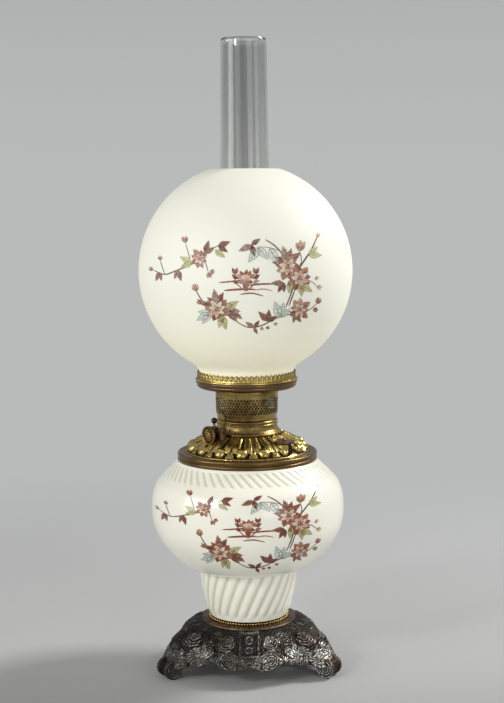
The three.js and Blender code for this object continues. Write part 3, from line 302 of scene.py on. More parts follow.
def turned(name, profile, steps=96, closed=True):
    """Spins a profile of (radius, height) points in millimetres round the lamp's axis."""
    points = [Vector((radius * MM, 0, height * MM)) for radius, height in profile]
    if closed and points[0].x > 0:
        points.append(points[0])
    start_clean()
    bpy.ops.mesh.primitive_plane_add(size=MM)
    bpy.ops.object.mode_set(mode="EDIT")
    bpy.ops.mesh.merge(type="CENTER")
    bpy.ops.transform.translate(value=points[0])
    for here, there in zip(points, points[1:]):
        bpy.ops.mesh.extrude_region_move(TRANSFORM_OT_translate={"value": there - here})
    bpy.ops.mesh.select_all(action="SELECT")
    bpy.ops.mesh.spin(steps=steps, angle=FULL_TURN, center=(0, 0, 0), axis=(0, 0, 1))
    return finish_mesh(name)


print("turning helpers ready, smooth up to", round(math.degrees(SMOOTH_ANGLE)), "degrees")

# %% [markdown]
# Profiles are given as a few points, and a spline through them keeps a curve smooth without control
# handles to look after. What a plain turned form lacks, such as ribs, leaves or a scroll, comes from a
# rule that moves each vertex and says how hollow it lies. Displacing by a picture would blur such edges.

# %% Curves and rules
def spline(a, b, c, d, t):
    """The value at t, 0 to 1, of a smooth curve from b to c, with a before it and d after."""
    square, cube = 2 * a - 5 * b + 4 * c - d, 3 * b - a - 3 * c + d
    return 0.5 * (2 * b + (c - a) * t + square * t * t + cube * t ** 3)


def four_around(values, i):
    """The value before step i, the two at its ends and the one after."""
    return values[max(i - 1, 0)], values[i], values[i + 1], values[min(i + 2, len(values) - 1)]


def curve_through(points, per_span=5):
    """A smooth line of points through given ones."""
    line = [tuple(spline(*four, step / per_span) for four in zip(*four_around(points, i)))
            for i in range(len(points) - 1) for step in range(per_span)]
    return [*line, points[-1]]


def read_line(line, value):
    """Reads a line of (result, place) pairs at a place, straight between the pairs."""
    for (r0, z0), (r1, z1) in zip(line, line[1:]):
        if value <= z1:
            return r0 + (r1 - r0) * max(0.0, value - z0) / max(z1 - z0, 1e-6)
    return line[-1][0]


def lifted(line, level):
    """A line of (radius, height) points, moved up to a level."""
    return [(radius, level + height) for radius, height in line]


def soft_step(value, low, high):
    """0 below low, 1 above high and a soft rise between them."""
    share = min(1.0, max(0.0, (value - low) / (high - low)))
    return share * share * (3 - 2 * share)


def wave(turn):
    """1 at every full turn and 0 half way between."""
    return 0.5 + 0.5 * math.cos(turn)


def arch(value):
    """A half circle over -1 to 1, and 0 outside it."""
    return math.sqrt(max(0.0, 1 - value * value))


def reshape(piece, rule):
    """Moves every vertex as rule(radius, angle, height) says, and stores the hollow it names, 0 to 1."""
    hollows = []
    for vertex in piece.data.vertices:
        x, y, z = vertex.co
        radius, angle, height, hollow = rule(math.hypot(x, y) / MM, math.atan2(y, x), z / MM)
        vertex.co = (radius * MM * math.cos(angle), radius * MM * math.sin(angle), height * MM)
        hollows.append(hollow)
    layer = piece.data.attributes.new("hollow", "FLOAT", "POINT")
    layer.data.foreach_set("value", hollows)
    piece.data.update()


print("half circle at 0.6", round(arch(0.6), 2), "and soft step at 0.25", round(soft_step(0.25, 0, 1), 3))

# %% [markdown]
# Sheet metal and castings are modelled as a skin first: openings are faces that are deleted, and Solidify
# gives the thickness. `dress` then sets a piece's finish, the body that it rides on and the nodes that it
# stands for. The three readers give a node's limits, so that pieces follow the frame.

# %% Sheets, finishes and places
def take(piece):
    """Leaves one piece selected and active, for the operators that follow."""
    start_clean()
    bpy.context.view_layer.objects.active = piece
    piece.select_set(True)


def open_faces(piece, test, edge=0.0):
    """Deletes each face whose centre in millimetres passes the test, but for an edge along its sides."""
    take(piece)
    bpy.ops.object.mode_set(mode="EDIT")
    bpy.ops.mesh.select_mode(type="FACE")
    bpy.ops.mesh.select_all(action="DESELECT")
    mesh = bmesh.from_edit_mesh(piece.data)
    for face in mesh.faces:
        face.select_set(test(face.calc_center_median() / MM))
    bmesh.update_edit_mesh(piece.data)
    if edge > 0:
        bpy.ops.mesh.inset(thickness=edge * MM, use_individual=True)
    bpy.ops.mesh.delete(type="FACE")
    bpy.ops.object.mode_set(mode="OBJECT")


def thicken(piece, thickness):
    """Turns a skin into a sheet that reaches inwards, with its thickness in millimetres."""
    take(piece)
    sheet = piece.modifiers.new("sheet", "SOLIDIFY")
    sheet.thickness, sheet.offset = thickness * MM, -1
    bpy.ops.object.modifier_apply(modifier=sheet.name)


def dress(piece, finish, body, slot, *replaced):
    """Gives a piece its finish, its body and the nodes that it stands for."""
    piece.data.materials.clear()
    piece.data.materials.append(finish.material)
    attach(piece, body)
    if replaced:
        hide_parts(*replaced)
    print(piece.name, "faces", len(piece.data.polygons))


def low(node):
    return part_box(node)[0].z / MM


def high(node):
    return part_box(node)[1].z / MM


def reach(node):
    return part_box(node)[1].x / MM


print("shade from", round(low("shade"), 1), "to", round(high("shade"), 1), "mm")

# %% [markdown]
# Old lamp brass is not one colour: it is bright where hands and cloths rub it and nearly black-brown in
# its hollows. Each embossed piece stores how hollow every vertex lies, so the finish can darken exactly
# there; the darkening is partly grime and partly painted shade, for inner faces and recesses that lie in
# shade are marked hollow too. Noise alone would put the darkening at random, and a picture would not fit
# another lamp.

# %% Metal finishes
METAL_GRAIN = 0.00025


def aged_metal(name, bright, worn, grime_and_shade_colour, rough, patina=0.5):
    """Rubbed metal, darkened in its hollows by grime and by painted shade, with cloudy patina over the rest.
    """
    finish = Finish(name, metal=1.0)
    cloud = finish.noise(38, 5)
    specks = finish.noise(260, 4)
    hollow = finish.mark("hollow")
    patches = (cloud + specks * 0.35).between(0.52, 0.86) * patina
    colour = finish.mix(patches, srgb(*bright), srgb(*worn))
    # The dark colour is grime in real hollows and painted shade where a rule marks a shaded face hollow.
    grime_and_shade = (hollow + (specks - 0.5) * 0.5).between(0.3, 0.85)
    colour = finish.mix(grime_and_shade, colour, srgb(*grime_and_shade_colour))
    finish.surface(color=colour, rough=patches * 0.25 + grime_and_shade * 0.35 + rough)
    finish.bump(specks * 0.6 + cloud, METAL_GRAIN)
    return finish


BRASS = aged_metal("aged_brass", (204, 180, 112), (138, 114, 60), (44, 32, 16), 0.2)
DARK_BRASS = aged_metal("dark_brass", (122, 98, 62), (84, 64, 40), (34, 24, 14), 0.26)
COPPER_BRASS = aged_metal("copper_brass", (124, 100, 74), (86, 66, 48), (34, 25, 18), 0.28)
WORN_GILT = aged_metal("worn_gilt", (168, 136, 84), (118, 90, 52), (44, 31, 18), 0.3)
GILT = aged_metal("gilt", (226, 188, 110), (180, 138, 70), (60, 40, 18), 0.18, 0.3)
OLD_BRASS = aged_metal("old_brass", (164, 140, 86), (92, 72, 42), (18, 13, 9), 0.24, 0.8)
# Near black: soot on the burner's inner tubes, and painted shade so that the holes of the burner read dark.
SOOT_AND_SHADE = aged_metal("soot_and_shade_brass", (44, 36, 28), (26, 21, 17), (10, 8, 7), 0.6)
ENGRAVED = aged_metal("engraved_copper", (124, 104, 86), (78, 66, 56), (30, 25, 20), 0.36, 0.9)
STEEL = aged_metal("plain_steel", (150, 148, 144), (110, 106, 100), (50, 46, 42), 0.35)
BLACK_KNOB = aged_metal("blackened_knob", (70, 62, 56), (44, 38, 34), (16, 13, 11), 0.22)


def cast_metal():
    """A dark bronzed casting whose high places are worn to silver, with fine silver specks that are partly
    painted glints.
    """
    finish = Finish("bronzed_casting", metal=0.9)
    cloud, specks = finish.noise(30, 6), finish.noise(420, 5)
    rubbed = finish.noise(17, 2)
    curl_size = {"Scale": 100, "Distortion": 15, "Detail": 2, "Detail Scale": 1.1}
    curls = finish.node("TexWave", {"wave_type": "RINGS", "rings_direction": "SPHERICAL"},
                        {"Vector": finish.place(), **curl_size}, output=1)
    hollow = finish.mark("hollow") * 0.9 + (1 - curls) * 0.16
    raised = (1 - hollow) * 0.75 + rubbed * 0.7 + (specks - 0.5) * 0.6
    # worn: bare metal on the high places, and fine silver specks that are partly painted glints.
    worn = raised.between(0.85, 1.15)
    colour = finish.mix(hollow.between(0.25, 0.85), srgb(84, 80, 73), srgb(14, 12, 11))
    colour = finish.mix(worn * 0.9, colour, srgb(210, 209, 204))
    rust = (finish.noise(14, 3) - 0.45).between(0.05, 0.3) * 0.4
    colour = finish.mix(rust, colour, srgb(92, 70, 52))
    finish.surface(color=colour, rough=0.5 - worn * 0.22)
    finish.bump(specks * 0.6 + cloud + curls * 0.5, 0.0007)
    return finish


CASTING = cast_metal()
COTTON = Finish("woven_cotton", rough=0.95)
weave = COTTON.node("TexWave", {"wave_type": "BANDS", "bands_direction": "DIAGONAL"},
                    {"Vector": COTTON.place(), "Scale": 900, "Distortion": 1.5}, output=1)
COTTON.surface(color=COTTON.mix(weave, srgb(206, 194, 164), srgb(236, 228, 208)))
COTTON.bump(weave, 0.0004)
print("metal finishes ready")

# %% [markdown]
# The shade and the vase are opal glass: the shade has a satin skin and the vase a wet gloss. Opal glass
# is nearly opaque, so a pale diffuse body with a slight painted glow reads better here than true glass;
# the glow stands in for light scattered under the skin. Each is also painted warmer below a given
# height, as light thrown up from below. The valleys of the vase's ribs are painted darker and yellower
# as shade, which the stored hollow gives.

# %% Glass finishes
PAINTED_GLOW = (0.36, 0.36, 0.34)
WARM_BOUNCE_LIGHT = srgb(238, 232, 204)


def opal(name, body, valley, rough, coat, bounce_band, glow, gloss):
    """White glass, painted warmer low down, between the two heights in metres of bounce_band, as light thrown
    up from below.
    """
    finish = Finish(name, rough=rough, coat=coat, coat_rough=0.05, gloss=gloss)
    drift = finish.noise(9, 2).between(0.3, 0.8)
    colour = finish.mix(drift * 0.35, body, tuple(v * s for v, s in zip(body, (0.985, 0.975, 0.93))))
    height = finish.node("SeparateXYZ", {}, {0: finish.place()}, output=2)
    # Painted bounce light: a warmer colour below the band's top.
    colour = finish.mix((1 - height.between(*bounce_band)) * 0.8, colour, WARM_BOUNCE_LIGHT)
    # The hollow paints the valleys of the ribs darker and yellower, as shade.
    finish.surface(color=finish.mix(finish.mark("hollow").between(0.1, 1.0), colour, valley))
    # Painted glow: an emission, warmer low down, that stands in for light scattered inside the glass.
    finish.surface(glow=finish.mix(height.between(*bounce_band), WARM_BOUNCE_LIGHT, PAINTED_GLOW), glow_level=glow)
    finish.bump(finish.noise(60, 2), 0.0001, 0.25)
    return finish


SATIN_OPAL = opal("satin_opal", srgb(238, 238, 224), srgb(232, 226, 200), 0.5, 0.0, (0.315, 0.42), 0.28, 0.25)
GLOSS_OPAL = opal("gloss_opal", srgb(243, 241, 225), srgb(198, 196, 166), 0.3, 0.8, (0.0, 0.06), 0.22, 0.5)
CLEAR_GLASS = Finish("clear_glass", rough=0.02, glass=1.0, ior=1.46)
# The chimney's tint carries painted reflections: vertical streaks, lighter sides, a lighter lower part and a
# painted highlight along the rim.
reflection_streaks = CLEAR_GLASS.noise(210, 4, (1, 1, 0.02)).between(0.34, 0.7)
across, height = (CLEAR_GLASS.node("SeparateXYZ", {}, {0: CLEAR_GLASS.place()}, axis) for axis in (0, 2))
aside = across.math("ABSOLUTE").between(0.003, 0.024)
lower = 1 - height.between(0.53, 0.64)
rim = height.between(0.669, 0.6735)
painted_reflection = (reflection_streaks * 0.45 + aside * 0.4 + lower * 0.3 + rim).math("MINIMUM", 1.0)
CLEAR_GLASS.surface(color=CLEAR_GLASS.mix(painted_reflection, (0.54, 0.54, 0.545), (0.86, 0.86, 0.85)))
print("glass finishes ready")

# %% [markdown]
# The shade is a blown ball, cut off at a narrow mouth and a wider fitter that stands in the crown. It
# could be a UV sphere with its poles cut, but a turned profile gives the wall, the rims and the ball in
# one closed skin, with rows that are even from mouth to fitter.

# %% Ball shade
BALL_RADIUS = 114.3
BALL_MOUTH = 38.0
BALL_FITTER = 50.8
BALL_FITTER_HEIGHT = 13.5
BALL_WALL = 3.0
BALL_CENTRE = low("shade") + BALL_FITTER_HEIGHT + math.sqrt(BALL_RADIUS ** 2 - BALL_FITTER ** 2)


def ball_arc(radius, start, end, count):
    """Points on a circle of the ball, from one distance off the axis to another, bottom up."""
    first, last = -math.acos(start / radius), math.acos(end / radius)
    angles = [first + (last - first) * i / count for i in range(count + 1)]
    return [(radius * math.cos(a), BALL_CENTRE + radius * math.sin(a)) for a in angles]


ball_inside = ball_arc(BALL_RADIUS - BALL_WALL, BALL_FITTER - BALL_WALL, BALL_MOUTH - BALL_WALL / 2, 40)
BLEND_TOP_RADIUS = 62.5
BALL_BLEND = [(50.8, 6.5), (51.0, 8.8), (51.9, 11.2), (53.9, 13.8), (57.2, 16.6), (61.0, 19.3)]
blend = lifted(curve_through([(BALL_FITTER, 0.0), *BALL_BLEND], 3), low("shade"))
ball_profile = [*blend, *ball_arc(BALL_RADIUS, BLEND_TOP_RADIUS, BALL_MOUTH, 60),
                *reversed(ball_inside), (BALL_FITTER - BALL_WALL, low("shade"))]
shade = turned("ball_shade", ball_profile, 160)
dress(shade, SATIN_OPAL, "shade", "satin_glass", "shade")

# %% [markdown]
# The chimney is a thin tube of clear glass with a wide foot that the prongs hold. Its wall has to be a
# real shell, because light bends once going in and once coming out of it.

# %% Chimney
CHIMNEY_WALL = 1.9
CHIMNEY_RADIUS = reach("chimney")
CHIMNEY_HEIGHT = high("chimney") - low("chimney")
CHIMNEY_SHARES = [(1.0, 0.0), (1.0, 0.03), (0.93, 0.052), (0.826, 0.079), (0.8, 0.135), (0.792, 0.4),
                  (0.784, 0.635), (0.763, 0.712), (0.739, 0.94), (0.724, 0.995)]
chimney_outside = [(r * CHIMNEY_RADIUS, low("chimney") + z * CHIMNEY_HEIGHT)
                   for r, z in curve_through(CHIMNEY_SHARES, 6)]
chimney_rim = [(chimney_outside[-1][0] - CHIMNEY_WALL / 2, high("chimney"))]
chimney_inside = [(r - CHIMNEY_WALL, z) for r, z in reversed(chimney_outside)]
chimney = turned("chimney_glass", [*chimney_outside, *chimney_rim, *chimney_inside], 96)
dress(chimney, CLEAR_GLASS, "chimney", "clear_glass", "chimney")

# %% [markdown]
# The vase has a swirled stem of 26 round ribs and a shoulder of 58 finer flutes that lean the other way.
# Both are ripples of one turned form, so the profile is turned first and its vertices are then moved by
# a formula: a wave of the angle, with a phase that drifts as it climbs, gives round ribs with sharp
# valleys. Modelling one rib and copying it would leave a seam in every valley.

# %% Vase
VASE_BELLY, VASE_LIP = 104.4, 72.4
VASE_LIP_HEIGHT = 4.8
VASE_BOTTOM = low("vase")
VASE_HEIGHT = high("vase") - VASE_LIP_HEIGHT - VASE_BOTTOM
STEM_RIBS, STEM_LEAN, RIB_DEPTH = 26, math.radians(24), 2.0
FLUTES, FLUTE_LEAN, FLUTE_DEPTH = 58, math.radians(-9.5), 1.7
STEM_SHARES = [(0.405, 0.0), (0.44, 0.05), (0.46, 0.1), (0.487, 0.176), (0.503, 0.24), (0.514, 0.302)]
BELLY_SHARES = [(0.53, 0.313), (0.61, 0.321), (0.69, 0.344), (0.77, 0.386), (0.855, 0.444), (0.936, 0.52),
                (0.985, 0.6), (1.0, 0.69), (0.993, 0.77), (0.965, 0.83), (0.929, 0.872), (0.842, 0.925),
                (0.768, 0.968), (0.725, 1.0)]
VASE_INSIDE = [(68.6, 1.028), (68.6, 0.98), (88.0, 0.897), (99.6, 0.75), (96.5, 0.58), (79.3, 0.42),
               (52.0, 0.325), (38.6, 0.03), (20.0, 0.03), (20.0, 0.0)]


def ripple(angle, count, phase):
    """1 on a rib, 0 in the valley between two."""
    return (0.5 - 0.5 * math.cos(count * (angle - phase))) ** 0.5


def vase_rule(radius, angle, height):
    share = (height - VASE_BOTTOM) / VASE_HEIGHT
    outside = radius > vase_radius(share) - 1.5
    stem = soft_step(share, 0.0, 0.05) * (1 - soft_step(share, 0.29, 0.312))
    flutes = soft_step(share, 0.905, 0.916) * (1 - soft_step(share, 0.98, 0.992))
    # The hollow returned below paints the valleys darker in the finish, as shade.
    if outside and stem > 0:
        rib = ripple(angle, STEM_RIBS, STEM_LEAN * share / 0.3)
        return radius - stem * RIB_DEPTH * (1 - rib), angle, height, stem * (1 - rib)
    if outside and flutes > 0:
        rib = ripple(angle, FLUTES, FLUTE_LEAN * (share - 0.91) / 0.08)
        return radius + flutes * FLUTE_DEPTH * (rib - 0.8), angle, height, flutes * (1 - rib)
    return radius, angle, height, 0.0


vase_outline = [*curve_through(STEM_SHARES, 6), *curve_through(BELLY_SHARES, 7)]


def vase_radius(share):
    """The vase's outside radius at a share of its height."""
    return VASE_BELLY * read_line(vase_outline, share)


vase_profile = [(r * VASE_BELLY, VASE_BOTTOM + z * VASE_HEIGHT) for r, z in vase_outline]
vase_profile += [(VASE_LIP, VASE_BOTTOM + VASE_HEIGHT), (VASE_LIP, high("vase"))]
vase_profile += [(radius, VASE_BOTTOM + z * VASE_HEIGHT) for radius, z in VASE_INSIDE]
vase = turned("opal_vase", vase_profile, 12 * STEM_RIBS)
reshape(vase, vase_rule)
dress(vase, GLOSS_OPAL, "stand", "opal_glass", "vase")

# %% [markdown]
# A heavy ring of dark brass is plastered to the vase's mouth and takes the oil font. Its outside is two
# rolls with a groove between them. It is a plain turned piece, so only its profile matters.

# %% Collar ring
RING_ROLLS = [(73.1, 0.0), (74.5, 0.1), (75.3, 0.9), (75.5, 2.0), (75.2, 3.1), (74.4, 3.8), (74.2, 4.4),
              (74.9, 5.0), (75.5, 6.0), (75.6, 7.2), (75.2, 8.4), (74.0, 9.3), (72.2, 9.7), (70.3, 9.8)]
RING_INSIDE = [(68.4, 9.7), (67.6, 9.3), (67.6, 7.6), (64.5, 7.6), (64.5, 5.4), (68.0, 5.4), (68.0, 5.1),
               (73.1, 5.1)]
ring_scale = reach("collar_ring") / max(radius for radius, _ in RING_ROLLS)
collar_line = [(r * ring_scale, z) for r, z in [*curve_through(RING_ROLLS, 4), *RING_INSIDE]]
collar = turned("collar_ring_rolled", lifted(collar_line, low("collar_ring")), 128)
dress(collar, DARK_BRASS, "stand", "dark_brass", "collar_ring")

# %% [markdown]
# The font's dome is stamped sheet brass: an outer row of 16 round bosses with small fans between them,
# and long ribbed leaves that climb to the neck. A stamped pattern is a height over a plain dome, so the
# dome is turned with fine rows and a formula lifts each vertex. The same formula tells the finish where
# the hollows are.

# %% Font dome
DOME_LOW = low("font_top")
BOSSES, FIRST_BOSS = 16, math.radians(-95.5)
BOSS_PITCH = FULL_TURN / BOSSES
BOSS_RING, BOSS_RADIUS, BOSS_RISE, BOSS_STRETCH = 60.3, 5.6, 3.6, 1.3
LEAF_ROOT, LEAF_TIP, LEAF_HALF, LEAF_SPREAD, SCROLL_RISE = 38.3, 60.5, 6.9, 0.12, 2.4
EDGE_LIFT, VEIN_RISE, SUNK = 1.6, 0.3, 0.9
FAN_FOOT, FAN_TOP, FAN_RISE, FAN_RAYS = 64.9, 57.5, 2.2, 5
FILLER_PLACE, FILLER_RECESS = Vector((39.0, -35.94)), 12.0
FILLER_LEVEL = DOME_LOW + 15.3
DOME_ROWS = [(67.0, 0.0), (67.0, 1.7), (66.6, 1.9), (65.2, 2.1), (64.2, 3.0), (62.4, 5.4), (58.6, 9.0),
             (54.5, 12.0), (49.5, 15.1), (44.5, 17.7), (40.6, 19.7), (38.2, 20.9), (36.8, 21.6)]
DOME_INSIDE = [(21.1, 21.6), (21.1, 20.4), (38.0, 19.1), (52.0, 10.8), (61.6, 0.0)]


def stamped_height(radius, angle):
    """How far the stamping stands up at a place on the dome, in millimetres."""
    turn = (angle - FIRST_BOSS) / BOSS_PITCH
    from_boss = (turn - round(turn)) * BOSS_PITCH * radius
    from_leaf = (turn - 0.5 - round(turn - 0.5)) * BOSS_PITCH * radius
    boss = BOSS_RISE * arch(math.hypot((radius - BOSS_RING) * BOSS_STRETCH, from_boss) / BOSS_RADIUS)
    along = (radius - LEAF_ROOT) / (LEAF_TIP - LEAF_ROOT)
    leaf = fan = 0.0
    side = abs(from_leaf) / (LEAF_HALF + LEAF_SPREAD * (radius - LEAF_ROOT))
    if side < 1 and -0.05 < along < 1:
        head = soft_step(along, -0.05, 0.08) * (1 - 0.55 * soft_step(along, 0.3, 1.0))
        vein = VEIN_RISE * math.cos(FULL_TURN * (side * 3.5 - along * 0.8))
        leaf = SCROLL_RISE * head * arch((side - 0.5) / 0.5) + vein * soft_step(along, 0.3, 0.6) * arch(side)
    down = (radius - FAN_TOP) / (FAN_FOOT - FAN_TOP)
    if 0 < down < 1.1:
        ray = from_leaf / (1.4 + 3.4 * down)
        if abs(ray) < 1:
            fan = FAN_RISE * arch(ray) ** 0.5 * (0.55 + 0.45 * math.cos(FAN_RAYS * math.pi * ray))
            fan *= soft_step(down, 0.0, 0.3) * (1 - soft_step(down, 0.9, 1.1))
    return max(boss, leaf, fan)


def dome_rule(radius, angle, height):
    if height < DOME_LOW + 0.9 or not 36.9 <= radius <= 66.0 or height < dome_level(radius) - 0.6:
        return radius, angle, height, 0.0
    stamped = stamped_height(radius, angle)
    slope = (dome_level(radius - 0.6) - dome_level(radius + 0.6)) / 1.2
    lean = slope / math.hypot(slope, 1)
    distance = (Vector((radius * math.cos(angle), radius * math.sin(angle))) - FILLER_PLACE).length
    landing = soft_step(distance, FILLER_RECESS, FILLER_RECESS + 1.2)
    inner = FILLER_RECESS - 2.5
    wall = (1 - landing) * soft_step(distance, inner, FILLER_RECESS)
    # The recess round the filler is marked hollow, which paints it darker as shade.
    grime_and_shade = 0.45 * (1 - landing) * (1 - 0.9 * wall * soft_step(stamped_height(BOSS_RING, angle), 0.5, 2.5))
    rise = (stamped - SUNK + EDGE_LIFT * soft_step(radius, 45.0, 57.0)) * landing
    level = height + rise * math.sqrt(1 - lean * lean)
    level = min(level, FILLER_LEVEL + 12 * landing)
    level = max(level, FILLER_LEVEL - 0.4 - 13 * soft_step(distance, inner, FILLER_RECESS + 3.5))
    hollow = max(1 - soft_step(stamped, 0.2, 1.4), grime_and_shade)
    return min(radius + rise * lean, 66.4), angle, level, hollow * 0.85


dome_line = curve_through(DOME_ROWS, 6)


def dome_level(radius):
    """Height of the plain dome at a radius."""
    for (r0, z0), (r1, z1) in zip(dome_line, dome_line[1:]):
        if r1 <= radius <= r0 and r0 > r1:
            return DOME_LOW + z0 + (z1 - z0) * (r0 - radius) / (r0 - r1)
    return DOME_LOW


dome = turned("font_dome", lifted([*dome_line, *DOME_INSIDE], DOME_LOW), 26 * BOSSES)
reshape(dome, dome_rule)
dress(dome, BRASS, "font", "brass", "font_top")

# %% [markdown]
# The neck that the burner drops into is a spun cove between a foot roll and two small rolls. It could be
# a bevelled cylinder, but a profile of points keeps the soft inner curves that the light picks out.

# %% Burner collar
NECK_COVE = [(36.7, 0.0), (36.9, 1.0), (36.3, 1.9), (34.9, 3.1), (33.7, 4.8), (32.9, 6.8), (32.5, 8.6)]
NECK_ROLLS = [(32.4, 8.9), (33.2, 9.3), (33.5, 10.1), (33.1, 10.9), (32.3, 11.3), (32.1, 11.9), (32.8, 12.3),
              (33.2, 13.1), (32.9, 14.0), (32.2, 14.6), (31.6, 14.8)]
neck_profile = [*curve_through(NECK_COVE, 4), *curve_through(NECK_ROLLS, 3), (30.2, 14.8), (30.2, 0.0)]
neck = turned("burner_neck", lifted(neck_profile, low("burner_collar")), 112)
dress(neck, OLD_BRASS, "font", "brass", "burner_collar")

# %% [markdown]
# Air reaches the flame through a band of small holes in the burner's body. The band is turned as a thin
# skin whose rows match the holes; every second face of a hole row is inset and its middle deleted, which
# gives a staggered pattern, and Solidify makes the sheet metal. Boolean holes would be far slower.

# %% Perforated burner body
BODY_LOW, BODY_TOP = low("burner_gallery"), high("burner_gallery")
BODY_FOOT = BODY_TOP - 33.3
HOLES_AROUND, HOLE_ROWS, HOLE_HEIGHT, HOLE_PITCH, HOLE_EDGE = 62, 6, 2.1, 2.82, 0.02
HOLES_START = BODY_FOOT + 7.2
BODY_SHEET = 0.45
BODY_SWELL = [(32.1, 0.0), (32.2, 3.6), (32.9, 5.2), (33.4, 10.0), (33.7, 26.3), (33.9, 28.0), (34.3, 30.0),
              (34.4, 33.3)]


def body_radius(height):
    return read_line(BODY_SWELL, height - BODY_FOOT)


def is_hole(centre):
    """Whether a face, by its centre in millimetres, is one of the staggered holes."""
    row, share = divmod((centre.z - HOLES_START) / HOLE_PITCH, 1)
    column = math.floor((math.atan2(centre.y, centre.x) % FULL_TURN) / FULL_TURN * 2 * HOLES_AROUND)
    return 0 <= row < HOLE_ROWS and share * HOLE_PITCH < HOLE_HEIGHT and (column + row) % 2 == 0


def body_rule(radius, angle, height):
    # The inner face is marked fully hollow, which paints it near black as shade so that the holes read dark.
    inside = radius < body_radius(height) - BODY_SHEET / 2
    above = soft_step(height, BODY_TOP - 8, BODY_TOP - 6.5)
    band = soft_step(height, HOLES_START - 1.5, HOLES_START) * (1 - above)
    # The band of holes is marked a little more hollow, so it is painted darker than the plain bands.
    return radius, angle, height, 1.0 if inside else 0.15 + 0.36 * band


hole_rows = [HOLES_START + row * HOLE_PITCH for row in range(HOLE_ROWS)]
plain_levels = [BODY_FOOT + up for up in (0, 1.4, 3.6, 5.2, 26.3, 28.0, 30.0)]
body_levels = sorted([*plain_levels, *hole_rows, *(level + HOLE_HEIGHT for level in hole_rows), BODY_TOP])
body = turned("burner_body", [(body_radius(z), z) for z in body_levels], 2 * HOLES_AROUND, closed=False)
open_faces(body, is_hole, HOLE_EDGE)
thicken(body, BODY_SHEET)
reshape(body, body_rule)
dress(body, OLD_BRASS, "burner", "brass", "burner_gallery")

SKIRT_RADIUS = 29.85
body_edge = body_radius(BODY_FOOT)
skirt_line = [(SKIRT_RADIUS, 0.0), (body_edge - 0.3, 0.1), (body_edge - 0.9, 0.8), (SKIRT_RADIUS - 1, 0.8)]
skirt_profile = [(SKIRT_RADIUS, BODY_LOW), *lifted(skirt_line, BODY_FOOT), (SKIRT_RADIUS - 1, BODY_LOW)]
dress(turned("burner_skirt", skirt_profile), BRASS, "burner", "brass")

# %% [markdown]
# The shade ring is a shallow pan of brown brass with a thin bright lip. On it stands the crown that keeps
# the shade centred: a band of stamped leaves with a toothed top. The band is turned with eight columns
# to a leaf, and a rule draws the leaves, sinks what lies between them and lowers the top between teeth.
# The rule also paints the sunk parts and the inner face darker, as painted shade.

# %% Shade ring and crown
PAN_LOW, PAN_OUT = low("shade_ring"), reach("shade_ring")
PAN_OUTSIDE = [(29.5, 0.0), (46.5, 0.0), (50.2, 0.6), (52.6, 2.0), (53.6, 3.6), (53.4, 4.6), (53.9, 5.4),
               (54.6, 6.4), (54.7, 7.8), (54.2, 8.8)]
PAN_INSIDE = [(53.6, 9.0), (53.6, 9.6), (48.5, 9.6), (48.5, 8.0), (50.0, 1.6), (29.5, 1.6)]
pan = turned("shade_pan", lifted([*curve_through(PAN_OUTSIDE, 3), *PAN_INSIDE], PAN_LOW), 128)
dress(pan, COPPER_BRASS, "burner", "copper_brass", "shade_ring")

LIP = [(53.9, 8.9), (54.9, 8.9), (55.5, 9.3), (PAN_OUT, 9.9), (55.4, 10.4), (54.8, 10.7), (54.2, 10.8),
       (53.7, 10.3)]
lip = turned("shade_pan_lip", lifted(LIP, PAN_LOW), 128)
dress(lip, BRASS, "burner", "brass")

CROWN_LOW, CROWN_TOP, CROWN_OUT = low("shade_crown"), high("shade_crown"), 53.2
CROWN_LEAVES, CROWN_SHEET, CROWN_ROWS = 60, 0.9, 22
CROWN_FOOT, TOOTH_DEPTH, CROWN_RELIEF = 1.8, 2.4, 0.8
CROWN_HEIGHT = CROWN_TOP - CROWN_LOW


def crown_rule(radius, angle, height):
    turn = angle * CROWN_LEAVES / FULL_TURN
    aside = 2 * abs(turn - round(turn))
    share = (height - CROWN_LOW) / CROWN_HEIGHT
    height -= TOOTH_DEPTH * aside * soft_step(share, 0.3, 1.0)
    # The inner face is marked fully hollow: painted shade.
    if radius < CROWN_OUT - CROWN_SHEET / 2:
        return radius, angle, height, 1.0
    up = (height - CROWN_LOW - CROWN_FOOT) / (CROWN_HEIGHT - CROWN_FOOT)
    if up < 0:
        return radius, angle, height, 0.0
    low_leaf = 0.95 - up / 0.42 - (1 - aside) * 2.1
    tall_leaf = 1 - max(0.0, up - 0.3) / 0.8 - aside * 2.1
    edge = max(low_leaf, tall_leaf)
    raised = soft_step(edge, 0.0, 0.3) * (1 - 0.5 * soft_step(edge, 0.45, 0.8))
    # The sunk parts between the leaves are marked half hollow: painted shade.
    return radius - CROWN_RELIEF * (1 - raised), angle, height, 0.5 * (1 - raised)


crown_side = [(CROWN_OUT, CROWN_LOW + CROWN_HEIGHT * row / CROWN_ROWS) for row in range(CROWN_ROWS + 1)]
crown_back = [(CROWN_OUT - CROWN_SHEET - CROWN_RELIEF, CROWN_LOW + CROWN_HEIGHT * up) for up in (1, 0.5, 0)]
crown = turned("crown_band", [*crown_side, *crown_back], 8 * CROWN_LEAVES)
reshape(crown, crown_rule)
dress(crown, BRASS, "burner", "brass", "shade_crown")

# %% [markdown]
# The bead ring under the vase is a string of tiny balls on a flat band. One ball with few faces is spun in
# copies round the axis, which spaces them exactly, where an array along a curve would leave a gap.

# %% Beaded ring
BEADS, BEAD_RADIUS = 86, 1.12
BEAD_LOW, BEAD_TOP, BEAD_OUT = low("beaded_ring"), high("beaded_ring"), reach("beaded_ring")


def band_shade_rule(radius, angle, height):
    # The band above the beads is marked hollow, which paints the shadow under the vase onto it.
    return radius, angle, height, soft_step(height, BEAD_LOW + 0.6, BEAD_LOW + 1.2)


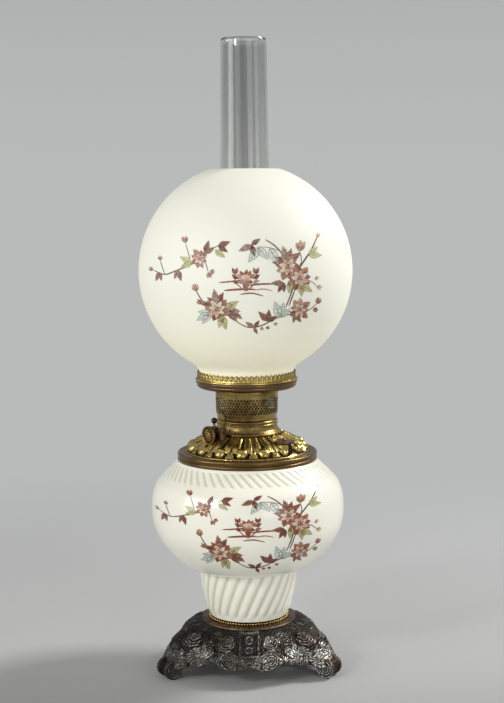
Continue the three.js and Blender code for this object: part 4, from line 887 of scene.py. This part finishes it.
bead_line = [(36, BEAD_LOW), (BEAD_OUT, BEAD_LOW), (BEAD_OUT + 0.1, BEAD_LOW + 0.7),
             (BEAD_OUT - 1.0, BEAD_LOW + 1.1), (BEAD_OUT - 1.3, BEAD_TOP - 0.8), (BEAD_OUT - 0.9, BEAD_TOP),
             (36, BEAD_TOP)]
bead_band = turned("bead_band", bead_line, 120)
reshape(bead_band, band_shade_rule)
dress(bead_band, DARK_BRASS, "stand", "brass", "beaded_ring")
start_clean()
bpy.ops.mesh.primitive_ico_sphere_add(subdivisions=2, radius=BEAD_RADIUS * MM)
bpy.ops.object.mode_set(mode="EDIT")
bpy.ops.transform.translate(value=((BEAD_OUT - 0.9) * MM, 0, (BEAD_LOW + 1.7) * MM))
bpy.ops.mesh.spin(steps=BEADS, dupli=True, angle=FULL_TURN, center=(0, 0, 0), axis=(0, 0, 1))
beads = finish_mesh("bead_string")
dress(beads, GILT, "stand", "brass")

# %% [markdown]
# The key's wheel is dished and cast with a star. It is turned flat, its face is cut by a rule, and the
# mesh is then stood up on the key's shaft, so that the finished piece still lies unturned at the origin.

# %% Key wheel
WHEEL_RADIUS, WHEEL_THICK, WHEEL_RAYS = 10.1, 2.6, 12
KEY_ANGLE = math.radians(220)
wheel_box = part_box("thumbwheel")
wheel_centre = (wheel_box[0] + wheel_box[1]) / 2
RING_RADII = (9.9, 9.5, 9.1, 8.7, 8.3, 7.9, 7.4, 6.8, 6.2, 5.6, 5.0, 4.4, 3.8, 3.4, 3.0, 2.4, 1.8, 1.0, 0)


def wheel_rule(radius, angle, height):
    if height < WHEEL_THICK / 2 - 0.1:
        return radius, angle, height, 0.3
    star = 0.5 + 0.5 * math.cos(WHEEL_RAYS * angle)
    rim = 1 - soft_step(8.9 - radius, 0.0, 0.8)
    hub = 1 - soft_step(radius, 3.0, 3.5)
    raised = max(rim, hub, 0.75 * star * (1 - soft_step(radius, 6.4, 7.8)))
    return radius, angle, height - 0.9 * (1 - raised), 1 - raised


wheel_line = [(0, -WHEEL_THICK / 2), (9.6, -WHEEL_THICK / 2), (WHEEL_RADIUS, -0.8), (WHEEL_RADIUS, 0.8),
              *((radius, WHEEL_THICK / 2) for radius in RING_RADII)]
wheel = turned("key_wheel", wheel_line, 72)
reshape(wheel, wheel_rule)
upright = Matrix.Rotation(KEY_ANGLE, 4, "Z") @ Matrix.Rotation(math.pi / 2, 4, "Y")
wheel.data.transform(Matrix.Translation(wheel_centre) @ upright)
dress(wheel, WORN_GILT, "key", "brass", "thumbwheel")

# %% [markdown]
# The base is one iron casting: a dome on three legs, covered with scrolls in relief and worn to bright
# metal where hands touch it, with fine bright specks that are partly painted glints. Two tables give its
# shape: the outline between the legs and on them, and the scalloped lower edge. One formula for half a
# face keeps all faces alike and both halves mirrored.

# %% Base: the shape of the dome
BASE_TOP = low("beaded_ring")
SHOULDER_HEIGHT, SHOULDER_RADIUS, BASE_RADIUS = BASE_TOP - 2, 48.0, 86.0
FACES, FRONT = 3, math.radians(-90)
FACE_SWEEP = FULL_TURN / FACES
BASE_COLUMNS, BASE_ROWS, BASE_SHEET = 432, 74, 2.8
DOME_SHAPE = [(1, 0, 0), (0.96, 0.185, 0.321), (0.93, 0.344, 0.513), (0.855, 0.513, 0.796),
              (0.795, 0.606, 0.955), (0.735, 0.672, 1.079), (0.605, 0.79, 1.181), (0.515, 0.869, 1.238),
              (0.43, 0.973, 1.294), (0.345, 1.0, 1.373), (0.26, 1.014, 1.453), (0, 1.023, 1.532)]
EDGE_SHAPE = [(0, 0.443), (0.1, 0.375), (0.2, 0.345), (0.3, 0.375), (0.4, 0.45), (0.5, 0.475), (0.6, 0.365),
              (0.7, 0.335), (0.8, 0.285), (0.9, 0.27), (1, 0.3)]
LEG_START, LEG_FULL = 0.7, 0.86
TUBE_RADIUS, TUBE_HEIGHT = 100.0, 100.0


def read_shape(table, value, column=1):
    """Smoothly reads a table whose first column runs up or down."""
    for i in range(len(table) - 1):
        here, there = table[i][0], table[i + 1][0]
        if min(here, there) <= value <= max(here, there):
            return spline(*four_around([row[column] for row in table], i), (value - here) / (there - here))
    return min(table[0], table[-1], key=lambda row: abs(value - row[0]))[column]


def toward_leg(angle):
    """0 at the middle of a face, 1 on a leg."""
    faces = (angle - FRONT) / FACE_SWEEP
    return 2 * abs(faces - round(faces))


def base_radius(across, share):
    """The dome's radius at a share of its height, across a face from its middle, 0, to the leg, 1."""
    leg = soft_step(across, LEG_START, LEG_FULL)
    between, on_leg = read_shape(DOME_SHAPE, share, 1), read_shape(DOME_SHAPE, share, 2)
    return SHOULDER_RADIUS + (BASE_RADIUS - SHOULDER_RADIUS) * (between + leg * (on_leg - between))


def half_face_point(across, share):
    """A place on half a face, with the face's middle along X, in millimetres."""
    radius, turn = base_radius(across, share), across * FACE_SWEEP / 2
    return Vector((radius * math.cos(turn), radius * math.sin(turn), SHOULDER_HEIGHT * share))


floor_radii = [round(base_radius(across, 0), 1) for across in (0, 1)]
print("radius at the floor", floor_radii, "mm, between the legs and on one")

# %% [markdown]
# The relief is a list of motifs for half a face, each with its place (share of the way to the leg and of
# the height), its size and its rise. Each is a low boss with a spiral or ribs cut into it, and the rim of a
# spiral waves in lobes, so that it reads as a leaf. A middle panel with two roundels and a bead along the
# lower edge come on top. Sculpting by hand could not be repeated on six halves.

# %% Base: the relief
SPIRALS = [(0.33, 0.82, 12.0, 2.0, 3.0, 1), (0.82, 0.83, 12.5, 2.6, 3.1, -1),
           (0.27, 0.50, 14.5, 1.9, 2.9, -1), (0.55, 0.93, 5.5, 1.7, 2.4, 1), (1.0, 0.60, 8.5, 1.9, 2.9, 1),
           (0.56, 0.62, 6.0, 1.6, 2.5, -1), (0.93, 0.52, 6.5, 1.6, 2.5, 1)]
FANS = [(0.68, 0.50, 12.5, 2.3, 19), (0.84, 0.46, 10.0, 2.0, 17), (1.0, 0.34, 12.0, 1.8, 16),
        (0.08, 0.48, 7.0, 1.3, 12), (0.45, 0.45, 8.0, 1.8, 14)]
PANEL_HALF, PANEL_LOW, PANEL_HIGH, PANEL_RISE = 10.3, 0.585, 0.975, 1.5
ROUNDELS, ROUNDEL_RADIUS = (0.87, 0.715), 3.1
PIERCINGS = [(0.68, 0.725, 2.8, 5.1), (0.42, 0.74, 3.9, 2.6)]
SINK, FILL_RISE, FILL_PITCH, EDGE_BEAD = 0.9, 1.1, 2.7, 1.7
LOBES, LOBE_DEPTH, LOBE_SWEEP = 6, 0.13, 0.22
FAN_TWIST, MOTIF_ROUND, SPIRAL_CUT = 0.45, 0.7, 1.3
spirals = [(half_face_point(*motif[:2]), *motif[2:]) for motif in SPIRALS]
fans = [(half_face_point(*motif[:2]), *motif[2:]) for motif in FANS]


def relief(place, share, way_down):
    """How far the casting stands up at a place, in millimetres, and how hollow it is there, 0 to 1."""
    height, hollow = 0.0, 1.0
    for centre, size, rise, pitch, hand in spirals:
        offset = place - centre
        away = offset.length
        if away < size:
            turn = math.atan2(offset.z, offset.y)
            lobe = math.cos(LOBES * turn - hand * away * LOBE_SWEEP)
            away = min(size, away * (1 - LOBE_DEPTH * lobe * away / size) / (1 - LOBE_DEPTH))
            cut = wave(FULL_TURN * away / pitch - hand * turn)
            body = rise * arch(away / size) ** MOTIF_ROUND
            level = body - SPIRAL_CUT * cut * min(1.0, 3 * (1 - away / size))
            if level > height:
                rim = 1 - 2.2 * (1 - away / size) / 0.35 if away > 0.65 * size else 0.0
                height, hollow = level, max(cut, rim)
    for centre, size, rise, ribs in fans:
        offset = place - centre
        away = offset.length
        if away < size:
            rib = abs(math.sin(ribs * math.atan2(offset.z, offset.y) / 2 + away * FAN_TWIST))
            level = rise * arch(away / size) ** MOTIF_ROUND * (0.3 + 0.7 * rib)
            if level > height:
                height, hollow = level, 1 - rib
    if height < FILL_RISE:
        nearest = min((place - centre).length - size for centre, size, *_ in spirals)
        crest = wave(FULL_TURN * nearest / FILL_PITCH)
        level = FILL_RISE * (0.1 + 0.9 * crest)
        if level > height:
            height, hollow = level, 1 - 0.7 * crest
    if abs(place.y) < PANEL_HALF and PANEL_LOW < share < PANEL_HIGH:
        rim = min(PANEL_HALF - abs(place.y), (share - PANEL_LOW) * 30, (PANEL_HIGH - share) * 40)
        height, hollow = (PANEL_RISE, 0.2) if rim < 1.0 else (PANEL_RISE * 0.4, 0.62)
        for level in ROUNDELS:
            away = math.hypot(place.y, (share - level) * SHOULDER_HEIGHT * 1.25)
            ring = math.exp(-((away - ROUNDEL_RADIUS) / 0.85) ** 2) + 0.9 * math.exp(-(away / 1.3) ** 2)
            height = max(height, PANEL_RISE * (0.4 + 0.9 * ring))
            hollow = min(hollow, 1 - 0.9 * ring)
    bead = EDGE_BEAD * math.exp(-((1 - way_down) / 0.035) ** 2)
    return (bead, 0.35) if bead > height else (height, hollow)


print("relief of", len(spirals), "spirals and", len(fans), "fans on half a face")

# %% [markdown]
# The sheet starts as a plain turned tube. A rule gives each of its vertices a place on the dome: the way
# down the tube becomes the way down to the scalloped edge, and the relief lifts it square to the surface.
# Faces in a kite-shaped opening are then deleted, and Solidify thickens the skin to a casting. Cutting the
# openings with booleans would break up the fine rows.

# %% Base: the casting
def base_rule(radius, angle, height):
    way_down = 1 - height / TUBE_HEIGHT
    across = toward_leg(angle)
    share = 1 + (read_shape(EDGE_SHAPE, across) - 1) * way_down
    rise, hollow = relief(half_face_point(across, share), share, way_down)
    under, over = max(share - 0.02, 0), min(share + 0.02, 1)
    steep = base_radius(across, under) - base_radius(across, over)
    drop = SHOULDER_HEIGHT * (over - under)
    length = math.hypot(steep, drop)
    lift = (rise - SINK) * soft_step(way_down, 0.0, 0.04)
    out = base_radius(across, share) + lift * drop / length
    return out, angle, SHOULDER_HEIGHT * share + lift * steep / length, hollow


tube = [(TUBE_RADIUS, TUBE_HEIGHT * (1 - row / BASE_ROWS)) for row in range(BASE_ROWS + 1)]
base = turned("scroll_base", tube, BASE_COLUMNS, closed=False)
reshape(base, base_rule)


def pierced(centre):
    """Whether a place in millimetres lies in one of the kite-shaped openings."""
    angle = math.atan2(centre.y, centre.x)
    across = toward_leg(angle)
    for place, share, half_width, half_height in PIERCINGS:
        aside = abs(across - place) * FACE_SWEEP / 2 * math.hypot(centre.x, centre.y) / half_width
        up = (centre.z - share * SHOULDER_HEIGHT) / half_height
        if aside + (up + 0.3) / 1.3 < 1 and aside - (up + 0.3) / 0.7 < 1:
            return True
    return False


open_faces(base, pierced)
thicken(base, BASE_SHEET)
dress(base, CASTING, "stand", "cast_metal", "cast_base")

# %% [markdown]
# The flat ring on top of the dome is turned on its own, with a shallow row of leaves cut round it. Three
# spokes and a hub under it hold the clamp rod; they are hidden, so simple bars are enough.

# %% Base: top ring and spokes
RING_LEAVES = 54
RING_SHAPE = [(36.0, 0), (43.6, 0), (44.4, -0.5), (45.6, -0.7), (47.6, -1.0), (48.8, -1.2), (49.6, -1.1),
              (50.3, -1.5), (50.6, -2.3)]
LEAF_ROW, LEAF_ROW_HALF = 46.6, 2.6


def ring_rule(radius, angle, height):
    if radius < 44 or radius > 49.2 or height < BASE_TOP - 2:
        return radius, angle, height, 0.0
    turn = angle * RING_LEAVES / FULL_TURN
    aside = abs(turn - round(turn)) * 2
    along = (radius - LEAF_ROW) / LEAF_ROW_HALF
    leaf = arch(aside / (0.15 + 0.8 * arch(along))) if abs(along) < 1 else 0.0
    return radius, angle, height + 0.5 * leaf, 0.75 * (1 - leaf)


ring_line = [*curve_through(RING_SHAPE, 4), (49.0, -3.2), (36.0, -5)]
top_ring = turned("base_top_ring", lifted(ring_line, BASE_TOP), 8 * RING_LEAVES)
reshape(top_ring, ring_rule)
dress(top_ring, ENGRAVED, "stand", "copper_brass")

HUB_RADIUS, HUB_BORE, HUB_DEPTH = 10.0, 4.4, 8.0
hub_line = [(HUB_BORE, -HUB_DEPTH), (HUB_RADIUS - 1, -HUB_DEPTH), (HUB_RADIUS, 1 - HUB_DEPTH),
            (HUB_RADIUS, 0), (HUB_BORE, 0)]
dress(turned("base_hub", lifted(hub_line, SHOULDER_HEIGHT), 48), CASTING, "stand", "cast_metal")
SPOKE_SIZE, SPOKE_MIDDLE, SPOKE_BEVEL = (34, 8, 3.4), 25, 0.8
start_clean()
bpy.ops.mesh.primitive_cube_add(size=MM)
bpy.ops.object.mode_set(mode="EDIT")
bpy.ops.transform.resize(value=SPOKE_SIZE)
bpy.ops.transform.translate(value=(SPOKE_MIDDLE * MM, 0, (SHOULDER_HEIGHT - SPOKE_SIZE[2] / 2) * MM))
bpy.ops.mesh.bevel(offset=SPOKE_BEVEL * MM, segments=2)
bpy.ops.mesh.select_all(action="SELECT")
bpy.ops.transform.rotate(value=-(FRONT + FACE_SWEEP / 2), orient_axis="Z", center_override=(0, 0, 0))
bpy.ops.mesh.spin(steps=FACES, dupli=True, angle=FULL_TURN, center=(0, 0, 0), axis=(0, 0, 1))
spokes = finish_mesh("base_spokes")
dress(spokes, CASTING, "stand", "cast_metal")

# %% [markdown]
# Each leg ends in a scroll-shaped foot. One is turned as a wide roll with a waist, and a rule cuts the
# spiral into both its faces; it is stood on edge, set at the end of the leg and copied round.

# %% Base: scroll feet
FOOT_RADIUS, FOOT_WIDE, FOOT_DISTANCE, FOOT_PITCH = 10.3, 22.4, 98.2, 2.8


def foot_rule(radius, angle, height):
    if abs(height) <= FOOT_WIDE / 2 - 0.9 or radius >= FOOT_RADIUS - 0.4:
        return radius, angle, height, 0.45 + 0.3 * soft_step(FOOT_WIDE / 2 - abs(height), 4.0, 7.0)
    groove = wave(FULL_TURN * radius / FOOT_PITCH - math.copysign(1, height) * angle)
    groove *= soft_step(FOOT_RADIUS - radius, 0.4, 1.6)
    return radius, angle, height - math.copysign(0.8, height) * groove, groove * 0.7


FOOT_RINGS = (0, 0.6, 1.2, 1.8, 2.4, 3.0, 3.6, 4.2, 4.8, 5.4, 6.0, 6.6, 7.2, 7.8, 8.4, 8.9, 9.3)
FOOT_RIM = [(9.9, 10.8), (FOOT_RADIUS, 10.0), (FOOT_RADIUS, 6.6), (9.8, 5.2), (8.9, 4.3), (8.5, 2.4),
            (8.6, 0)]
half_foot = [*((radius, FOOT_WIDE / 2) for radius in FOOT_RINGS), *FOOT_RIM]
foot = turned("scroll_foot", [*((r, -z) for r, z in half_foot), *reversed(half_foot[:-1])], 48)
reshape(foot, foot_rule)
for leg in range(FACES):
    mesh = foot.data.copy()
    turn = Matrix.Rotation(FRONT + (leg + 0.5) * FACE_SWEEP, 4, "Z")
    place = Matrix.Translation((FOOT_DISTANCE * MM, 0, FOOT_RADIUS * MM))
    mesh.transform(turn @ place @ Matrix.Rotation(math.pi / 2, 4, "X"))
    copy = bpy.data.objects.new(f"scroll_foot_{leg + 1}", mesh)
    scene.collection.objects.link(copy)
    dress(copy, CASTING, "stand", "cast_metal")
bpy.data.objects.remove(foot)

# %% [markdown]
# Both glasses carry the same sprays of blossom, printed in browns and greens under a thin glaze. Each
# petal, leaf and twig is drawn as a small flat patch in a plane in front of the lamp and then laid on the
# glass, a hair above it. Patches keep the sprays sharp at any distance, and every patch stores how far
# each vertex is from its root and its rim, so that one finish can shade them all. They are made from
# lists of vertices, because hundreds of flat scraps would be slow to place by hand.

# %% Painted sprays: drawing in the plane
PETAL = [(0.0, 0.0), (0.09, 0.1), (0.2, 0.34), (0.24, 0.55), (0.19, 0.76), (0.08, 0.93), (0.0, 1.02)]
LEAF = [(0.0, 0.0), (0.11, 0.1), (0.24, 0.32), (0.22, 0.54), (0.12, 0.78), (0.0, 1.04)]
LIFT_FIRST, LIFT_STEP, PATCH_SHEET = 0.2, 0.012, 0.08
drawing = {}
chance = random.Random(7)


def patch(ink, rows, layer):
    """Adds a strip; each row is (left, middle, right, way from root to tip)."""
    store = drawing.setdefault(ink, {"points": [], "faces": [], "tip": [], "rim": [], "tint": []})
    first, tint = len(store["points"]), chance.random()
    for left, middle, right, way in rows:
        for point, rim in ((left, 1.0), (middle, 0.0), (right, 1.0)):
            store["points"].append((point[0], point[1], layer))
            store["tip"].append(way)
            store["rim"].append(rim)
            store["tint"].append(tint)
    for row in range(len(rows) - 1):
        for side in (0, 1):
            corner = first + 3 * row + side
            store["faces"].append((corner, corner + 1, corner + 4, corner + 3))


def heading(turn):
    """Unit vectors along and across a direction, in degrees from straight up."""
    up = Vector((math.sin(math.radians(turn)), math.cos(math.radians(turn))))
    return up, Vector((up.y, -up.x))


def shape(ink, outline, x, z, size, turn, layer=0, width=1.0):
    """A petal or leaf that grows from (x, z) in the direction turn, in degrees from straight up."""
    up, across = heading(turn)
    rows, curl = [], chance.uniform(-0.12, 0.12)
    for half, way in outline:
        middle = Vector((x, z)) + size * (way * up + curl * way * way * across)
        side = half * size * width * across
        rows.append((middle - side, middle, middle + side, way))
    patch(ink, rows, layer)


def stroke(ink, points, width, layer=0, ends=0.35):
    """A line of paint through points, thinner at its ends."""
    line = [Vector(point) for point in curve_through(points, 5)]
    rows = []
    for i, here in enumerate(line):
        ahead = (line[min(i + 1, len(line) - 1)] - line[max(i - 1, 0)]).normalized()
        way = i / (len(line) - 1)
        half = width / 2 * (ends + (1 - ends) * arch(2 * way - 1))
        side = Vector((ahead.y, -ahead.x)) * half
        rows.append((here - side, here, here + side, way))
    patch(ink, rows, layer)


print("drawing tools ready, outlines of", len(PETAL), "and", len(LEAF), "rows")

# %% [markdown]
# A printed leaf is a wash with a line up its middle, three pairs of veins and sometimes an outline.
# A blossom has dark petals behind and pale ones in front. These few functions draw them at any size and
# turn, with small chance differences that a copied shape would lack.

# %% Painted sprays: leaves and blossoms
LEAF_SIZE = 1.28


def leaf(kind, x, z, size, turn):
    """A leaf in one of three ways: plain red, green with an outline, or a grey outline over a faint wash."""
    up, across = heading(turn)
    root = Vector((x, z))
    shape("grey_wash" if kind == "grey_line" else kind, LEAF, x, z, size, turn, 1)
    line_ink = {"red_leaf": "dark_line", "green_leaf": "green_line", "grey_line": "grey_line"}[kind]
    stroke(line_ink, [root, root + up * size * 0.5, root + up * size * 0.93], size * 0.05, 3)
    for way, long in ((0.25, 0.2), (0.5, 0.2), (0.68, 0.14)):
        for side in (-1, 1):
            start = root + up * size * way
            stroke(line_ink, [start, start + up * size * 0.12 + across * side * size * long], size * 0.03, 3)
    if kind != "red_leaf":
        for side in (-1, 1):
            edge = [root + size * (way * up + side * half * across) for half, way in LEAF]
            stroke(line_ink, edge, size * 0.045, 3, 0.7)


def sprig(x, z, size, *turns, kind="red_leaf"):
    for number, turn in enumerate(turns):
        leaf(kind, x, z, LEAF_SIZE * size * (1 - 0.12 * (number % 3)), turn)


def bud(x, z, size, turn, ink="petal"):
    for side in (-34, 34, -12, 14):
        shape(ink, PETAL, x, z, size * (1 if abs(side) < 20 else 0.8), turn + side, 2, 0.95)
    for side in (-24, 24):
        shape("dark_line", LEAF, x, z, size * 0.55, turn + side, 3, 0.45)
    shape("green_line", LEAF, x, z, size * 0.5, turn - 8, 4, 0.6)


def bloom(x, z, size, turn, petals=6):
    """A blossom seen a little from the side: dark petals behind, pale ones in front, dots in the middle."""
    behind = petals + 2
    for number in range(behind):
        way, ink = turn + number * 360 / behind, "red_leaf" if number % 3 else "petal"
        long = size * chance.uniform(0.9, 1.3)
        shape(ink, PETAL, x, z, long, way, 1 + number % 2, 1.15)
        shape("dark_line", LEAF, x, z, long * 0.8, way + 5, 3, 0.2)
    for number in range(petals):
        long, way = size * chance.uniform(0.6, 0.8), turn + 25 + number * 360 / petals
        shape("pale_petal", PETAL, x, z, long, way, 4 + number % 2, 0.95)
    for number in range(9):
        angle = number * 2.4
        spot = Vector((math.cos(angle), math.sin(angle))) * size * 0.06 * math.sqrt(number + 1)
        shape("dark_line", LEAF, x + spot.x, z + spot.y, size * 0.26, number * 51, 6, 0.8)


print("leaves, sprigs, buds and blooms ready")

# %% [markdown]
# The design grows from three main twigs, left, right and below, as the print in the picture does. Leaves
# go on first, then blossoms and buds at the ends of the twigs. Scattering them by chance would fill the
# same space, but an old print is composed, so every piece has its place.

# %% Painted sprays: the design
stroke("twig", [(-95, 5), (-82, 1), (-68, 6), (-54, 12), (-42, 22), (-26, 31)], 1.3)
stroke("twig", [(-82, 1), (-87, 15)], 0.8)
stroke("twig", [(-54, 12), (-60, 33)], 0.8)
stroke("twig", [(-42, 22), (-37, 4)], 0.8)
sprig(-27, 30, 10, 70, 118)
sprig(-40, 23, 10, 12, 60)
sprig(-68, 6, 9, 165, 205)
sprig(-88, 3, 8, 200, 160)
sprig(-46, 17, 10, 48, -28, 160)
sprig(-54, 13, 10, -62, -110, kind="green_leaf")
sprig(-30, 26, 9, 128, kind="green_leaf")
bloom(-46, 17, 8, 20)
bud(-60, 33, 7, -14)
bud(-87, 15, 5, 4)
bud(-95, 5, 5, -70)
bud(-37, 4, 6, 170)
bud(-35, 6, 5, 120)

stroke("twig", [(20, 36), (29, 30), (38, 20), (45, 10)], 1.4)
stroke("twig", [(12, 29), (24, 28), (33, 25)], 0.8)
sprig(6, 31, 11, -118, 165, 55)
sprig(13, 28, 13, 215, 140, kind="grey_line")
sprig(24, 27, 13, 150, kind="grey_line")
stroke("twig", [(40, -32), (46, -16), (51, 2), (60, 16), (66, 24), (73, 38)], 1.6)
stroke("twig", [(43, -31), (49, -15)], 1.2)
stroke("twig", [(51, 2), (56, 14), (54, 25)], 0.9)
stroke("twig", [(52, -8), (64, -6), (72, -12)], 0.8)
sprig(41, 13, 13, -8, 22, -58, 62, -92)
sprig(38, -7, 10, -95, 215, 180)
sprig(55, -9, 11, 125, 175, kind="green_leaf")
sprig(64, 20, 10, 95, 48, kind="green_leaf")
sprig(45, -6, 9, 190, kind="green_leaf")
bloom(42, 9, 12, 5, 7)
bloom(54, -3, 12, 40, 7)
bud(54, 24, 11, 15)
bud(73, 37, 5, 20, "pale_petal")
bud(72, -12, 6, 120, "pale_petal")
bud(70, -5, 5, 60, "pale_petal")

stroke("twig", [(-50, -14), (-44, -24), (-35, -33)], 1.1)
stroke("twig", [(-16, -40), (-6, -48), (4, -52), (16, -50), (30, -43), (46, -39), (60, -38), (72, -30)], 1.2)
bud(-49, -15, 8, -20)
bud(-44, -27, 6, -70)
sprig(-29, -29, 13, -8, 24, -48, -80)
sprig(-18, -34, 13, 118, 145, 92)
sprig(-20, -32, 11, 60, kind="green_leaf")
sprig(-24, -40, 11, 165, 195, kind="green_leaf")
sprig(-36, -37, 12, -120, 215, -85, kind="grey_line")
bloom(-29, -33, 13, 0, 7)
sprig(8, -52, 8, -60, 40, 160)
sprig(22, -46, 11, -40, 5, 60)
sprig(34, -42, 13, -18, 14, 50, kind="grey_line")
sprig(50, -40, 8, 150, 195, -60)
bloom(54, -35, 10, 10)
bud(72, -30, 7, 30)
bud(68, -35, 6, 115)
for spot in ((14, -53), (20, -52), (28, -48)):
    bud(*spot, 4, 90 + spot[0])

print("pieces of the sprays", sum(len(store["faces"]) for store in drawing.values()), "faces")

# %% [markdown]
# In the middle stands a small basket of blossom on a few strokes of ground. Its handles and leaves are
# drawn once for a side and mirrored, which is how a stencil would be cut.

# %% Painted sprays: the small middle group
GROUND = [((-27, -6), (2, -3), 1.6), ((-22, -14), (10, -13), 2.2), ((2, -9), (30, -8), 1.8),
          ((-6, -18), (18, -20), 1.4), ((8, -14), (27, -15), 1.2)]
for start, there, width in GROUND:
    middle = ((start[0] + there[0]) / 2, start[1] + 1.2)
    stroke("red_line", [start, middle, there], width, 0, 0.05)
for side in (-1, 1):
    stroke("red_line", [(0, -15), (side * 8, -8), (side * 11, 0), (side * 8, 7)], 1.3, 1)
    for along, turn in ((0.3, 75), (0.5, 50), (0.75, 20)):
        for wing in (-1, 1):
            shape("red_leaf", LEAF, side * (5 + 7 * along), -12 + 19 * along, 7, side * turn * wing, 2, 1.2)
shape("red_leaf", PETAL, 0, -14, 11, 0, 2, 1.3)
for turn in (-52, -26, 0, 26, 52):
    shape("petal", PETAL, 0, -4, 11, turn, 3, 0.9)
    shape("pale_petal", PETAL, 0, -4, 6.5, turn + 13, 5, 0.9)
print("whole print", sum(len(store["faces"]) for store in drawing.values()), "faces")

# %% [markdown]
# One finish serves every ink. Paint is a little deeper at a petal's root, paler toward its rim, and each
# patch has its own tint. The print on the satin shade has faded more than the glazed one on the vase.

# %% Painted sprays: inks
INKS = {
    "petal": ((128, 64, 38), (196, 138, 106)), "pale_petal": ((194, 132, 102), (242, 224, 198)),
    "red_leaf": ((110, 46, 27), (170, 98, 66)), "green_leaf": ((194, 195, 124), (228, 226, 172)),
    "dark_line": ((74, 34, 24), (92, 48, 36)), "green_line": ((128, 122, 72), (150, 148, 92)),
    "grey_line": ((128, 138, 132), (158, 168, 162)), "red_line": ((132, 56, 36), (172, 96, 70)),
    "grey_wash": ((226, 228, 214), (238, 239, 225)), "twig": ((82, 46, 30), (110, 68, 46)),
}


def ink_finish(name, deep, pale, fade, under, rough, coat):
    finish = Finish(name, rough=rough, coat=coat, coat_rough=0.05, gloss=0.5)
    tip, rim, tint = finish.mark("tip"), finish.mark("rim"), finish.mark("tint")
    cloud = finish.noise(420, 3)
    paleness = (tip * 0.55 + rim * 0.3 + tint * 0.35 + cloud * 0.4 - 0.35).between(0.0, 1.0)
    colour = finish.mix(paleness, srgb(*deep), srgb(*pale))
    faded = (cloud * 0.5 + tint * 0.3 + fade).between(0.25, 1.35)
    finish.surface(color=finish.mix(faded, colour, under))
    return finish


def painted(name, wrap, fade, under, rough, coat, body, slot):
    """Lays the whole drawing on a glass: wrap turns (x, z, lift) in millimetres into a place on it."""
    for ink, store in drawing.items():
        mesh = bpy.data.meshes.new(f"{name}_{ink}")
        places = [wrap(x, z, LIFT_FIRST + LIFT_STEP * layer) * MM for x, z, layer in store["points"]]
        mesh.from_pydata(places, [], store["faces"])
        for mark in ("tip", "rim", "tint"):
            mesh.attributes.new(mark, "FLOAT", "POINT").data.foreach_set("value", store[mark])
        piece = bpy.data.objects.new(mesh.name, mesh)
        scene.collection.objects.link(piece)
        if mesh.polygons[0].normal.y > 0:
            mesh.flip_normals()
        thicken(piece, PATCH_SHEET)
        bpy.ops.object.shade_smooth_by_angle(angle=SMOOTH_ANGLE)
        dress(piece, ink_finish(mesh.name, *INKS[ink], fade, under, rough, coat), body, slot)


def on_ball(x, z, lift):
    return Vector((x, -math.sqrt((BALL_RADIUS + lift) ** 2 - x * x - z * z), BALL_CENTRE + z))


PRINT_LEVEL, PRINT_ABOVE, PRINT_BELOW, PRINT_ACROSS = 178.5, 0.76, 0.97, 0.99


def on_vase(x, z, lift):
    height = PRINT_LEVEL + z * (PRINT_ABOVE if z > 0 else PRINT_BELOW)
    radius = vase_radius((height - VASE_BOTTOM) / VASE_HEIGHT) + lift
    return Vector((x * PRINT_ACROSS, -math.sqrt(radius * radius - (x * PRINT_ACROSS) ** 2), height))


painted("ball_print", on_ball, 0.1, srgb(238, 238, 224), 0.5, 0.0, "shade", "satin_glass")
painted("vase_print", on_vase, -0.12, srgb(243, 241, 225), 0.3, 0.8, "stand", "opal_glass")

# %% [markdown]
# Last, every CAD node that still shows gets the finish of its metal.

# %% Finishes of the carried-over nodes
NODE_FINISHES = {
    "brass": BRASS, "dark_brass": DARK_BRASS, "copper_brass": COPPER_BRASS, "steel": STEEL, "cotton": COTTON,
    "cast_metal": CASTING, "opal_glass": GLOSS_OPAL, "satin_glass": SATIN_OPAL, "clear_glass": CLEAR_GLASS,
}
OWN_FINISHES = {
    "rack_knob": BLACK_KNOB, "gear_case": COPPER_BRASS, "filler_cap": COPPER_BRASS,
    "filler_neck": COPPER_BRASS, "draught_tube": SOOT_AND_SHADE, "wick_tube": SOOT_AND_SHADE, "flame_cone": SOOT_AND_SHADE,
}
for part in frame["record"]["subparts"]:
    node = nodes[part["node"]]
    finish = OWN_FINISHES.get(part["node"], NODE_FINISHES[part["material_slot"]])
    for place in node.material_slots:
        place.material = finish.material
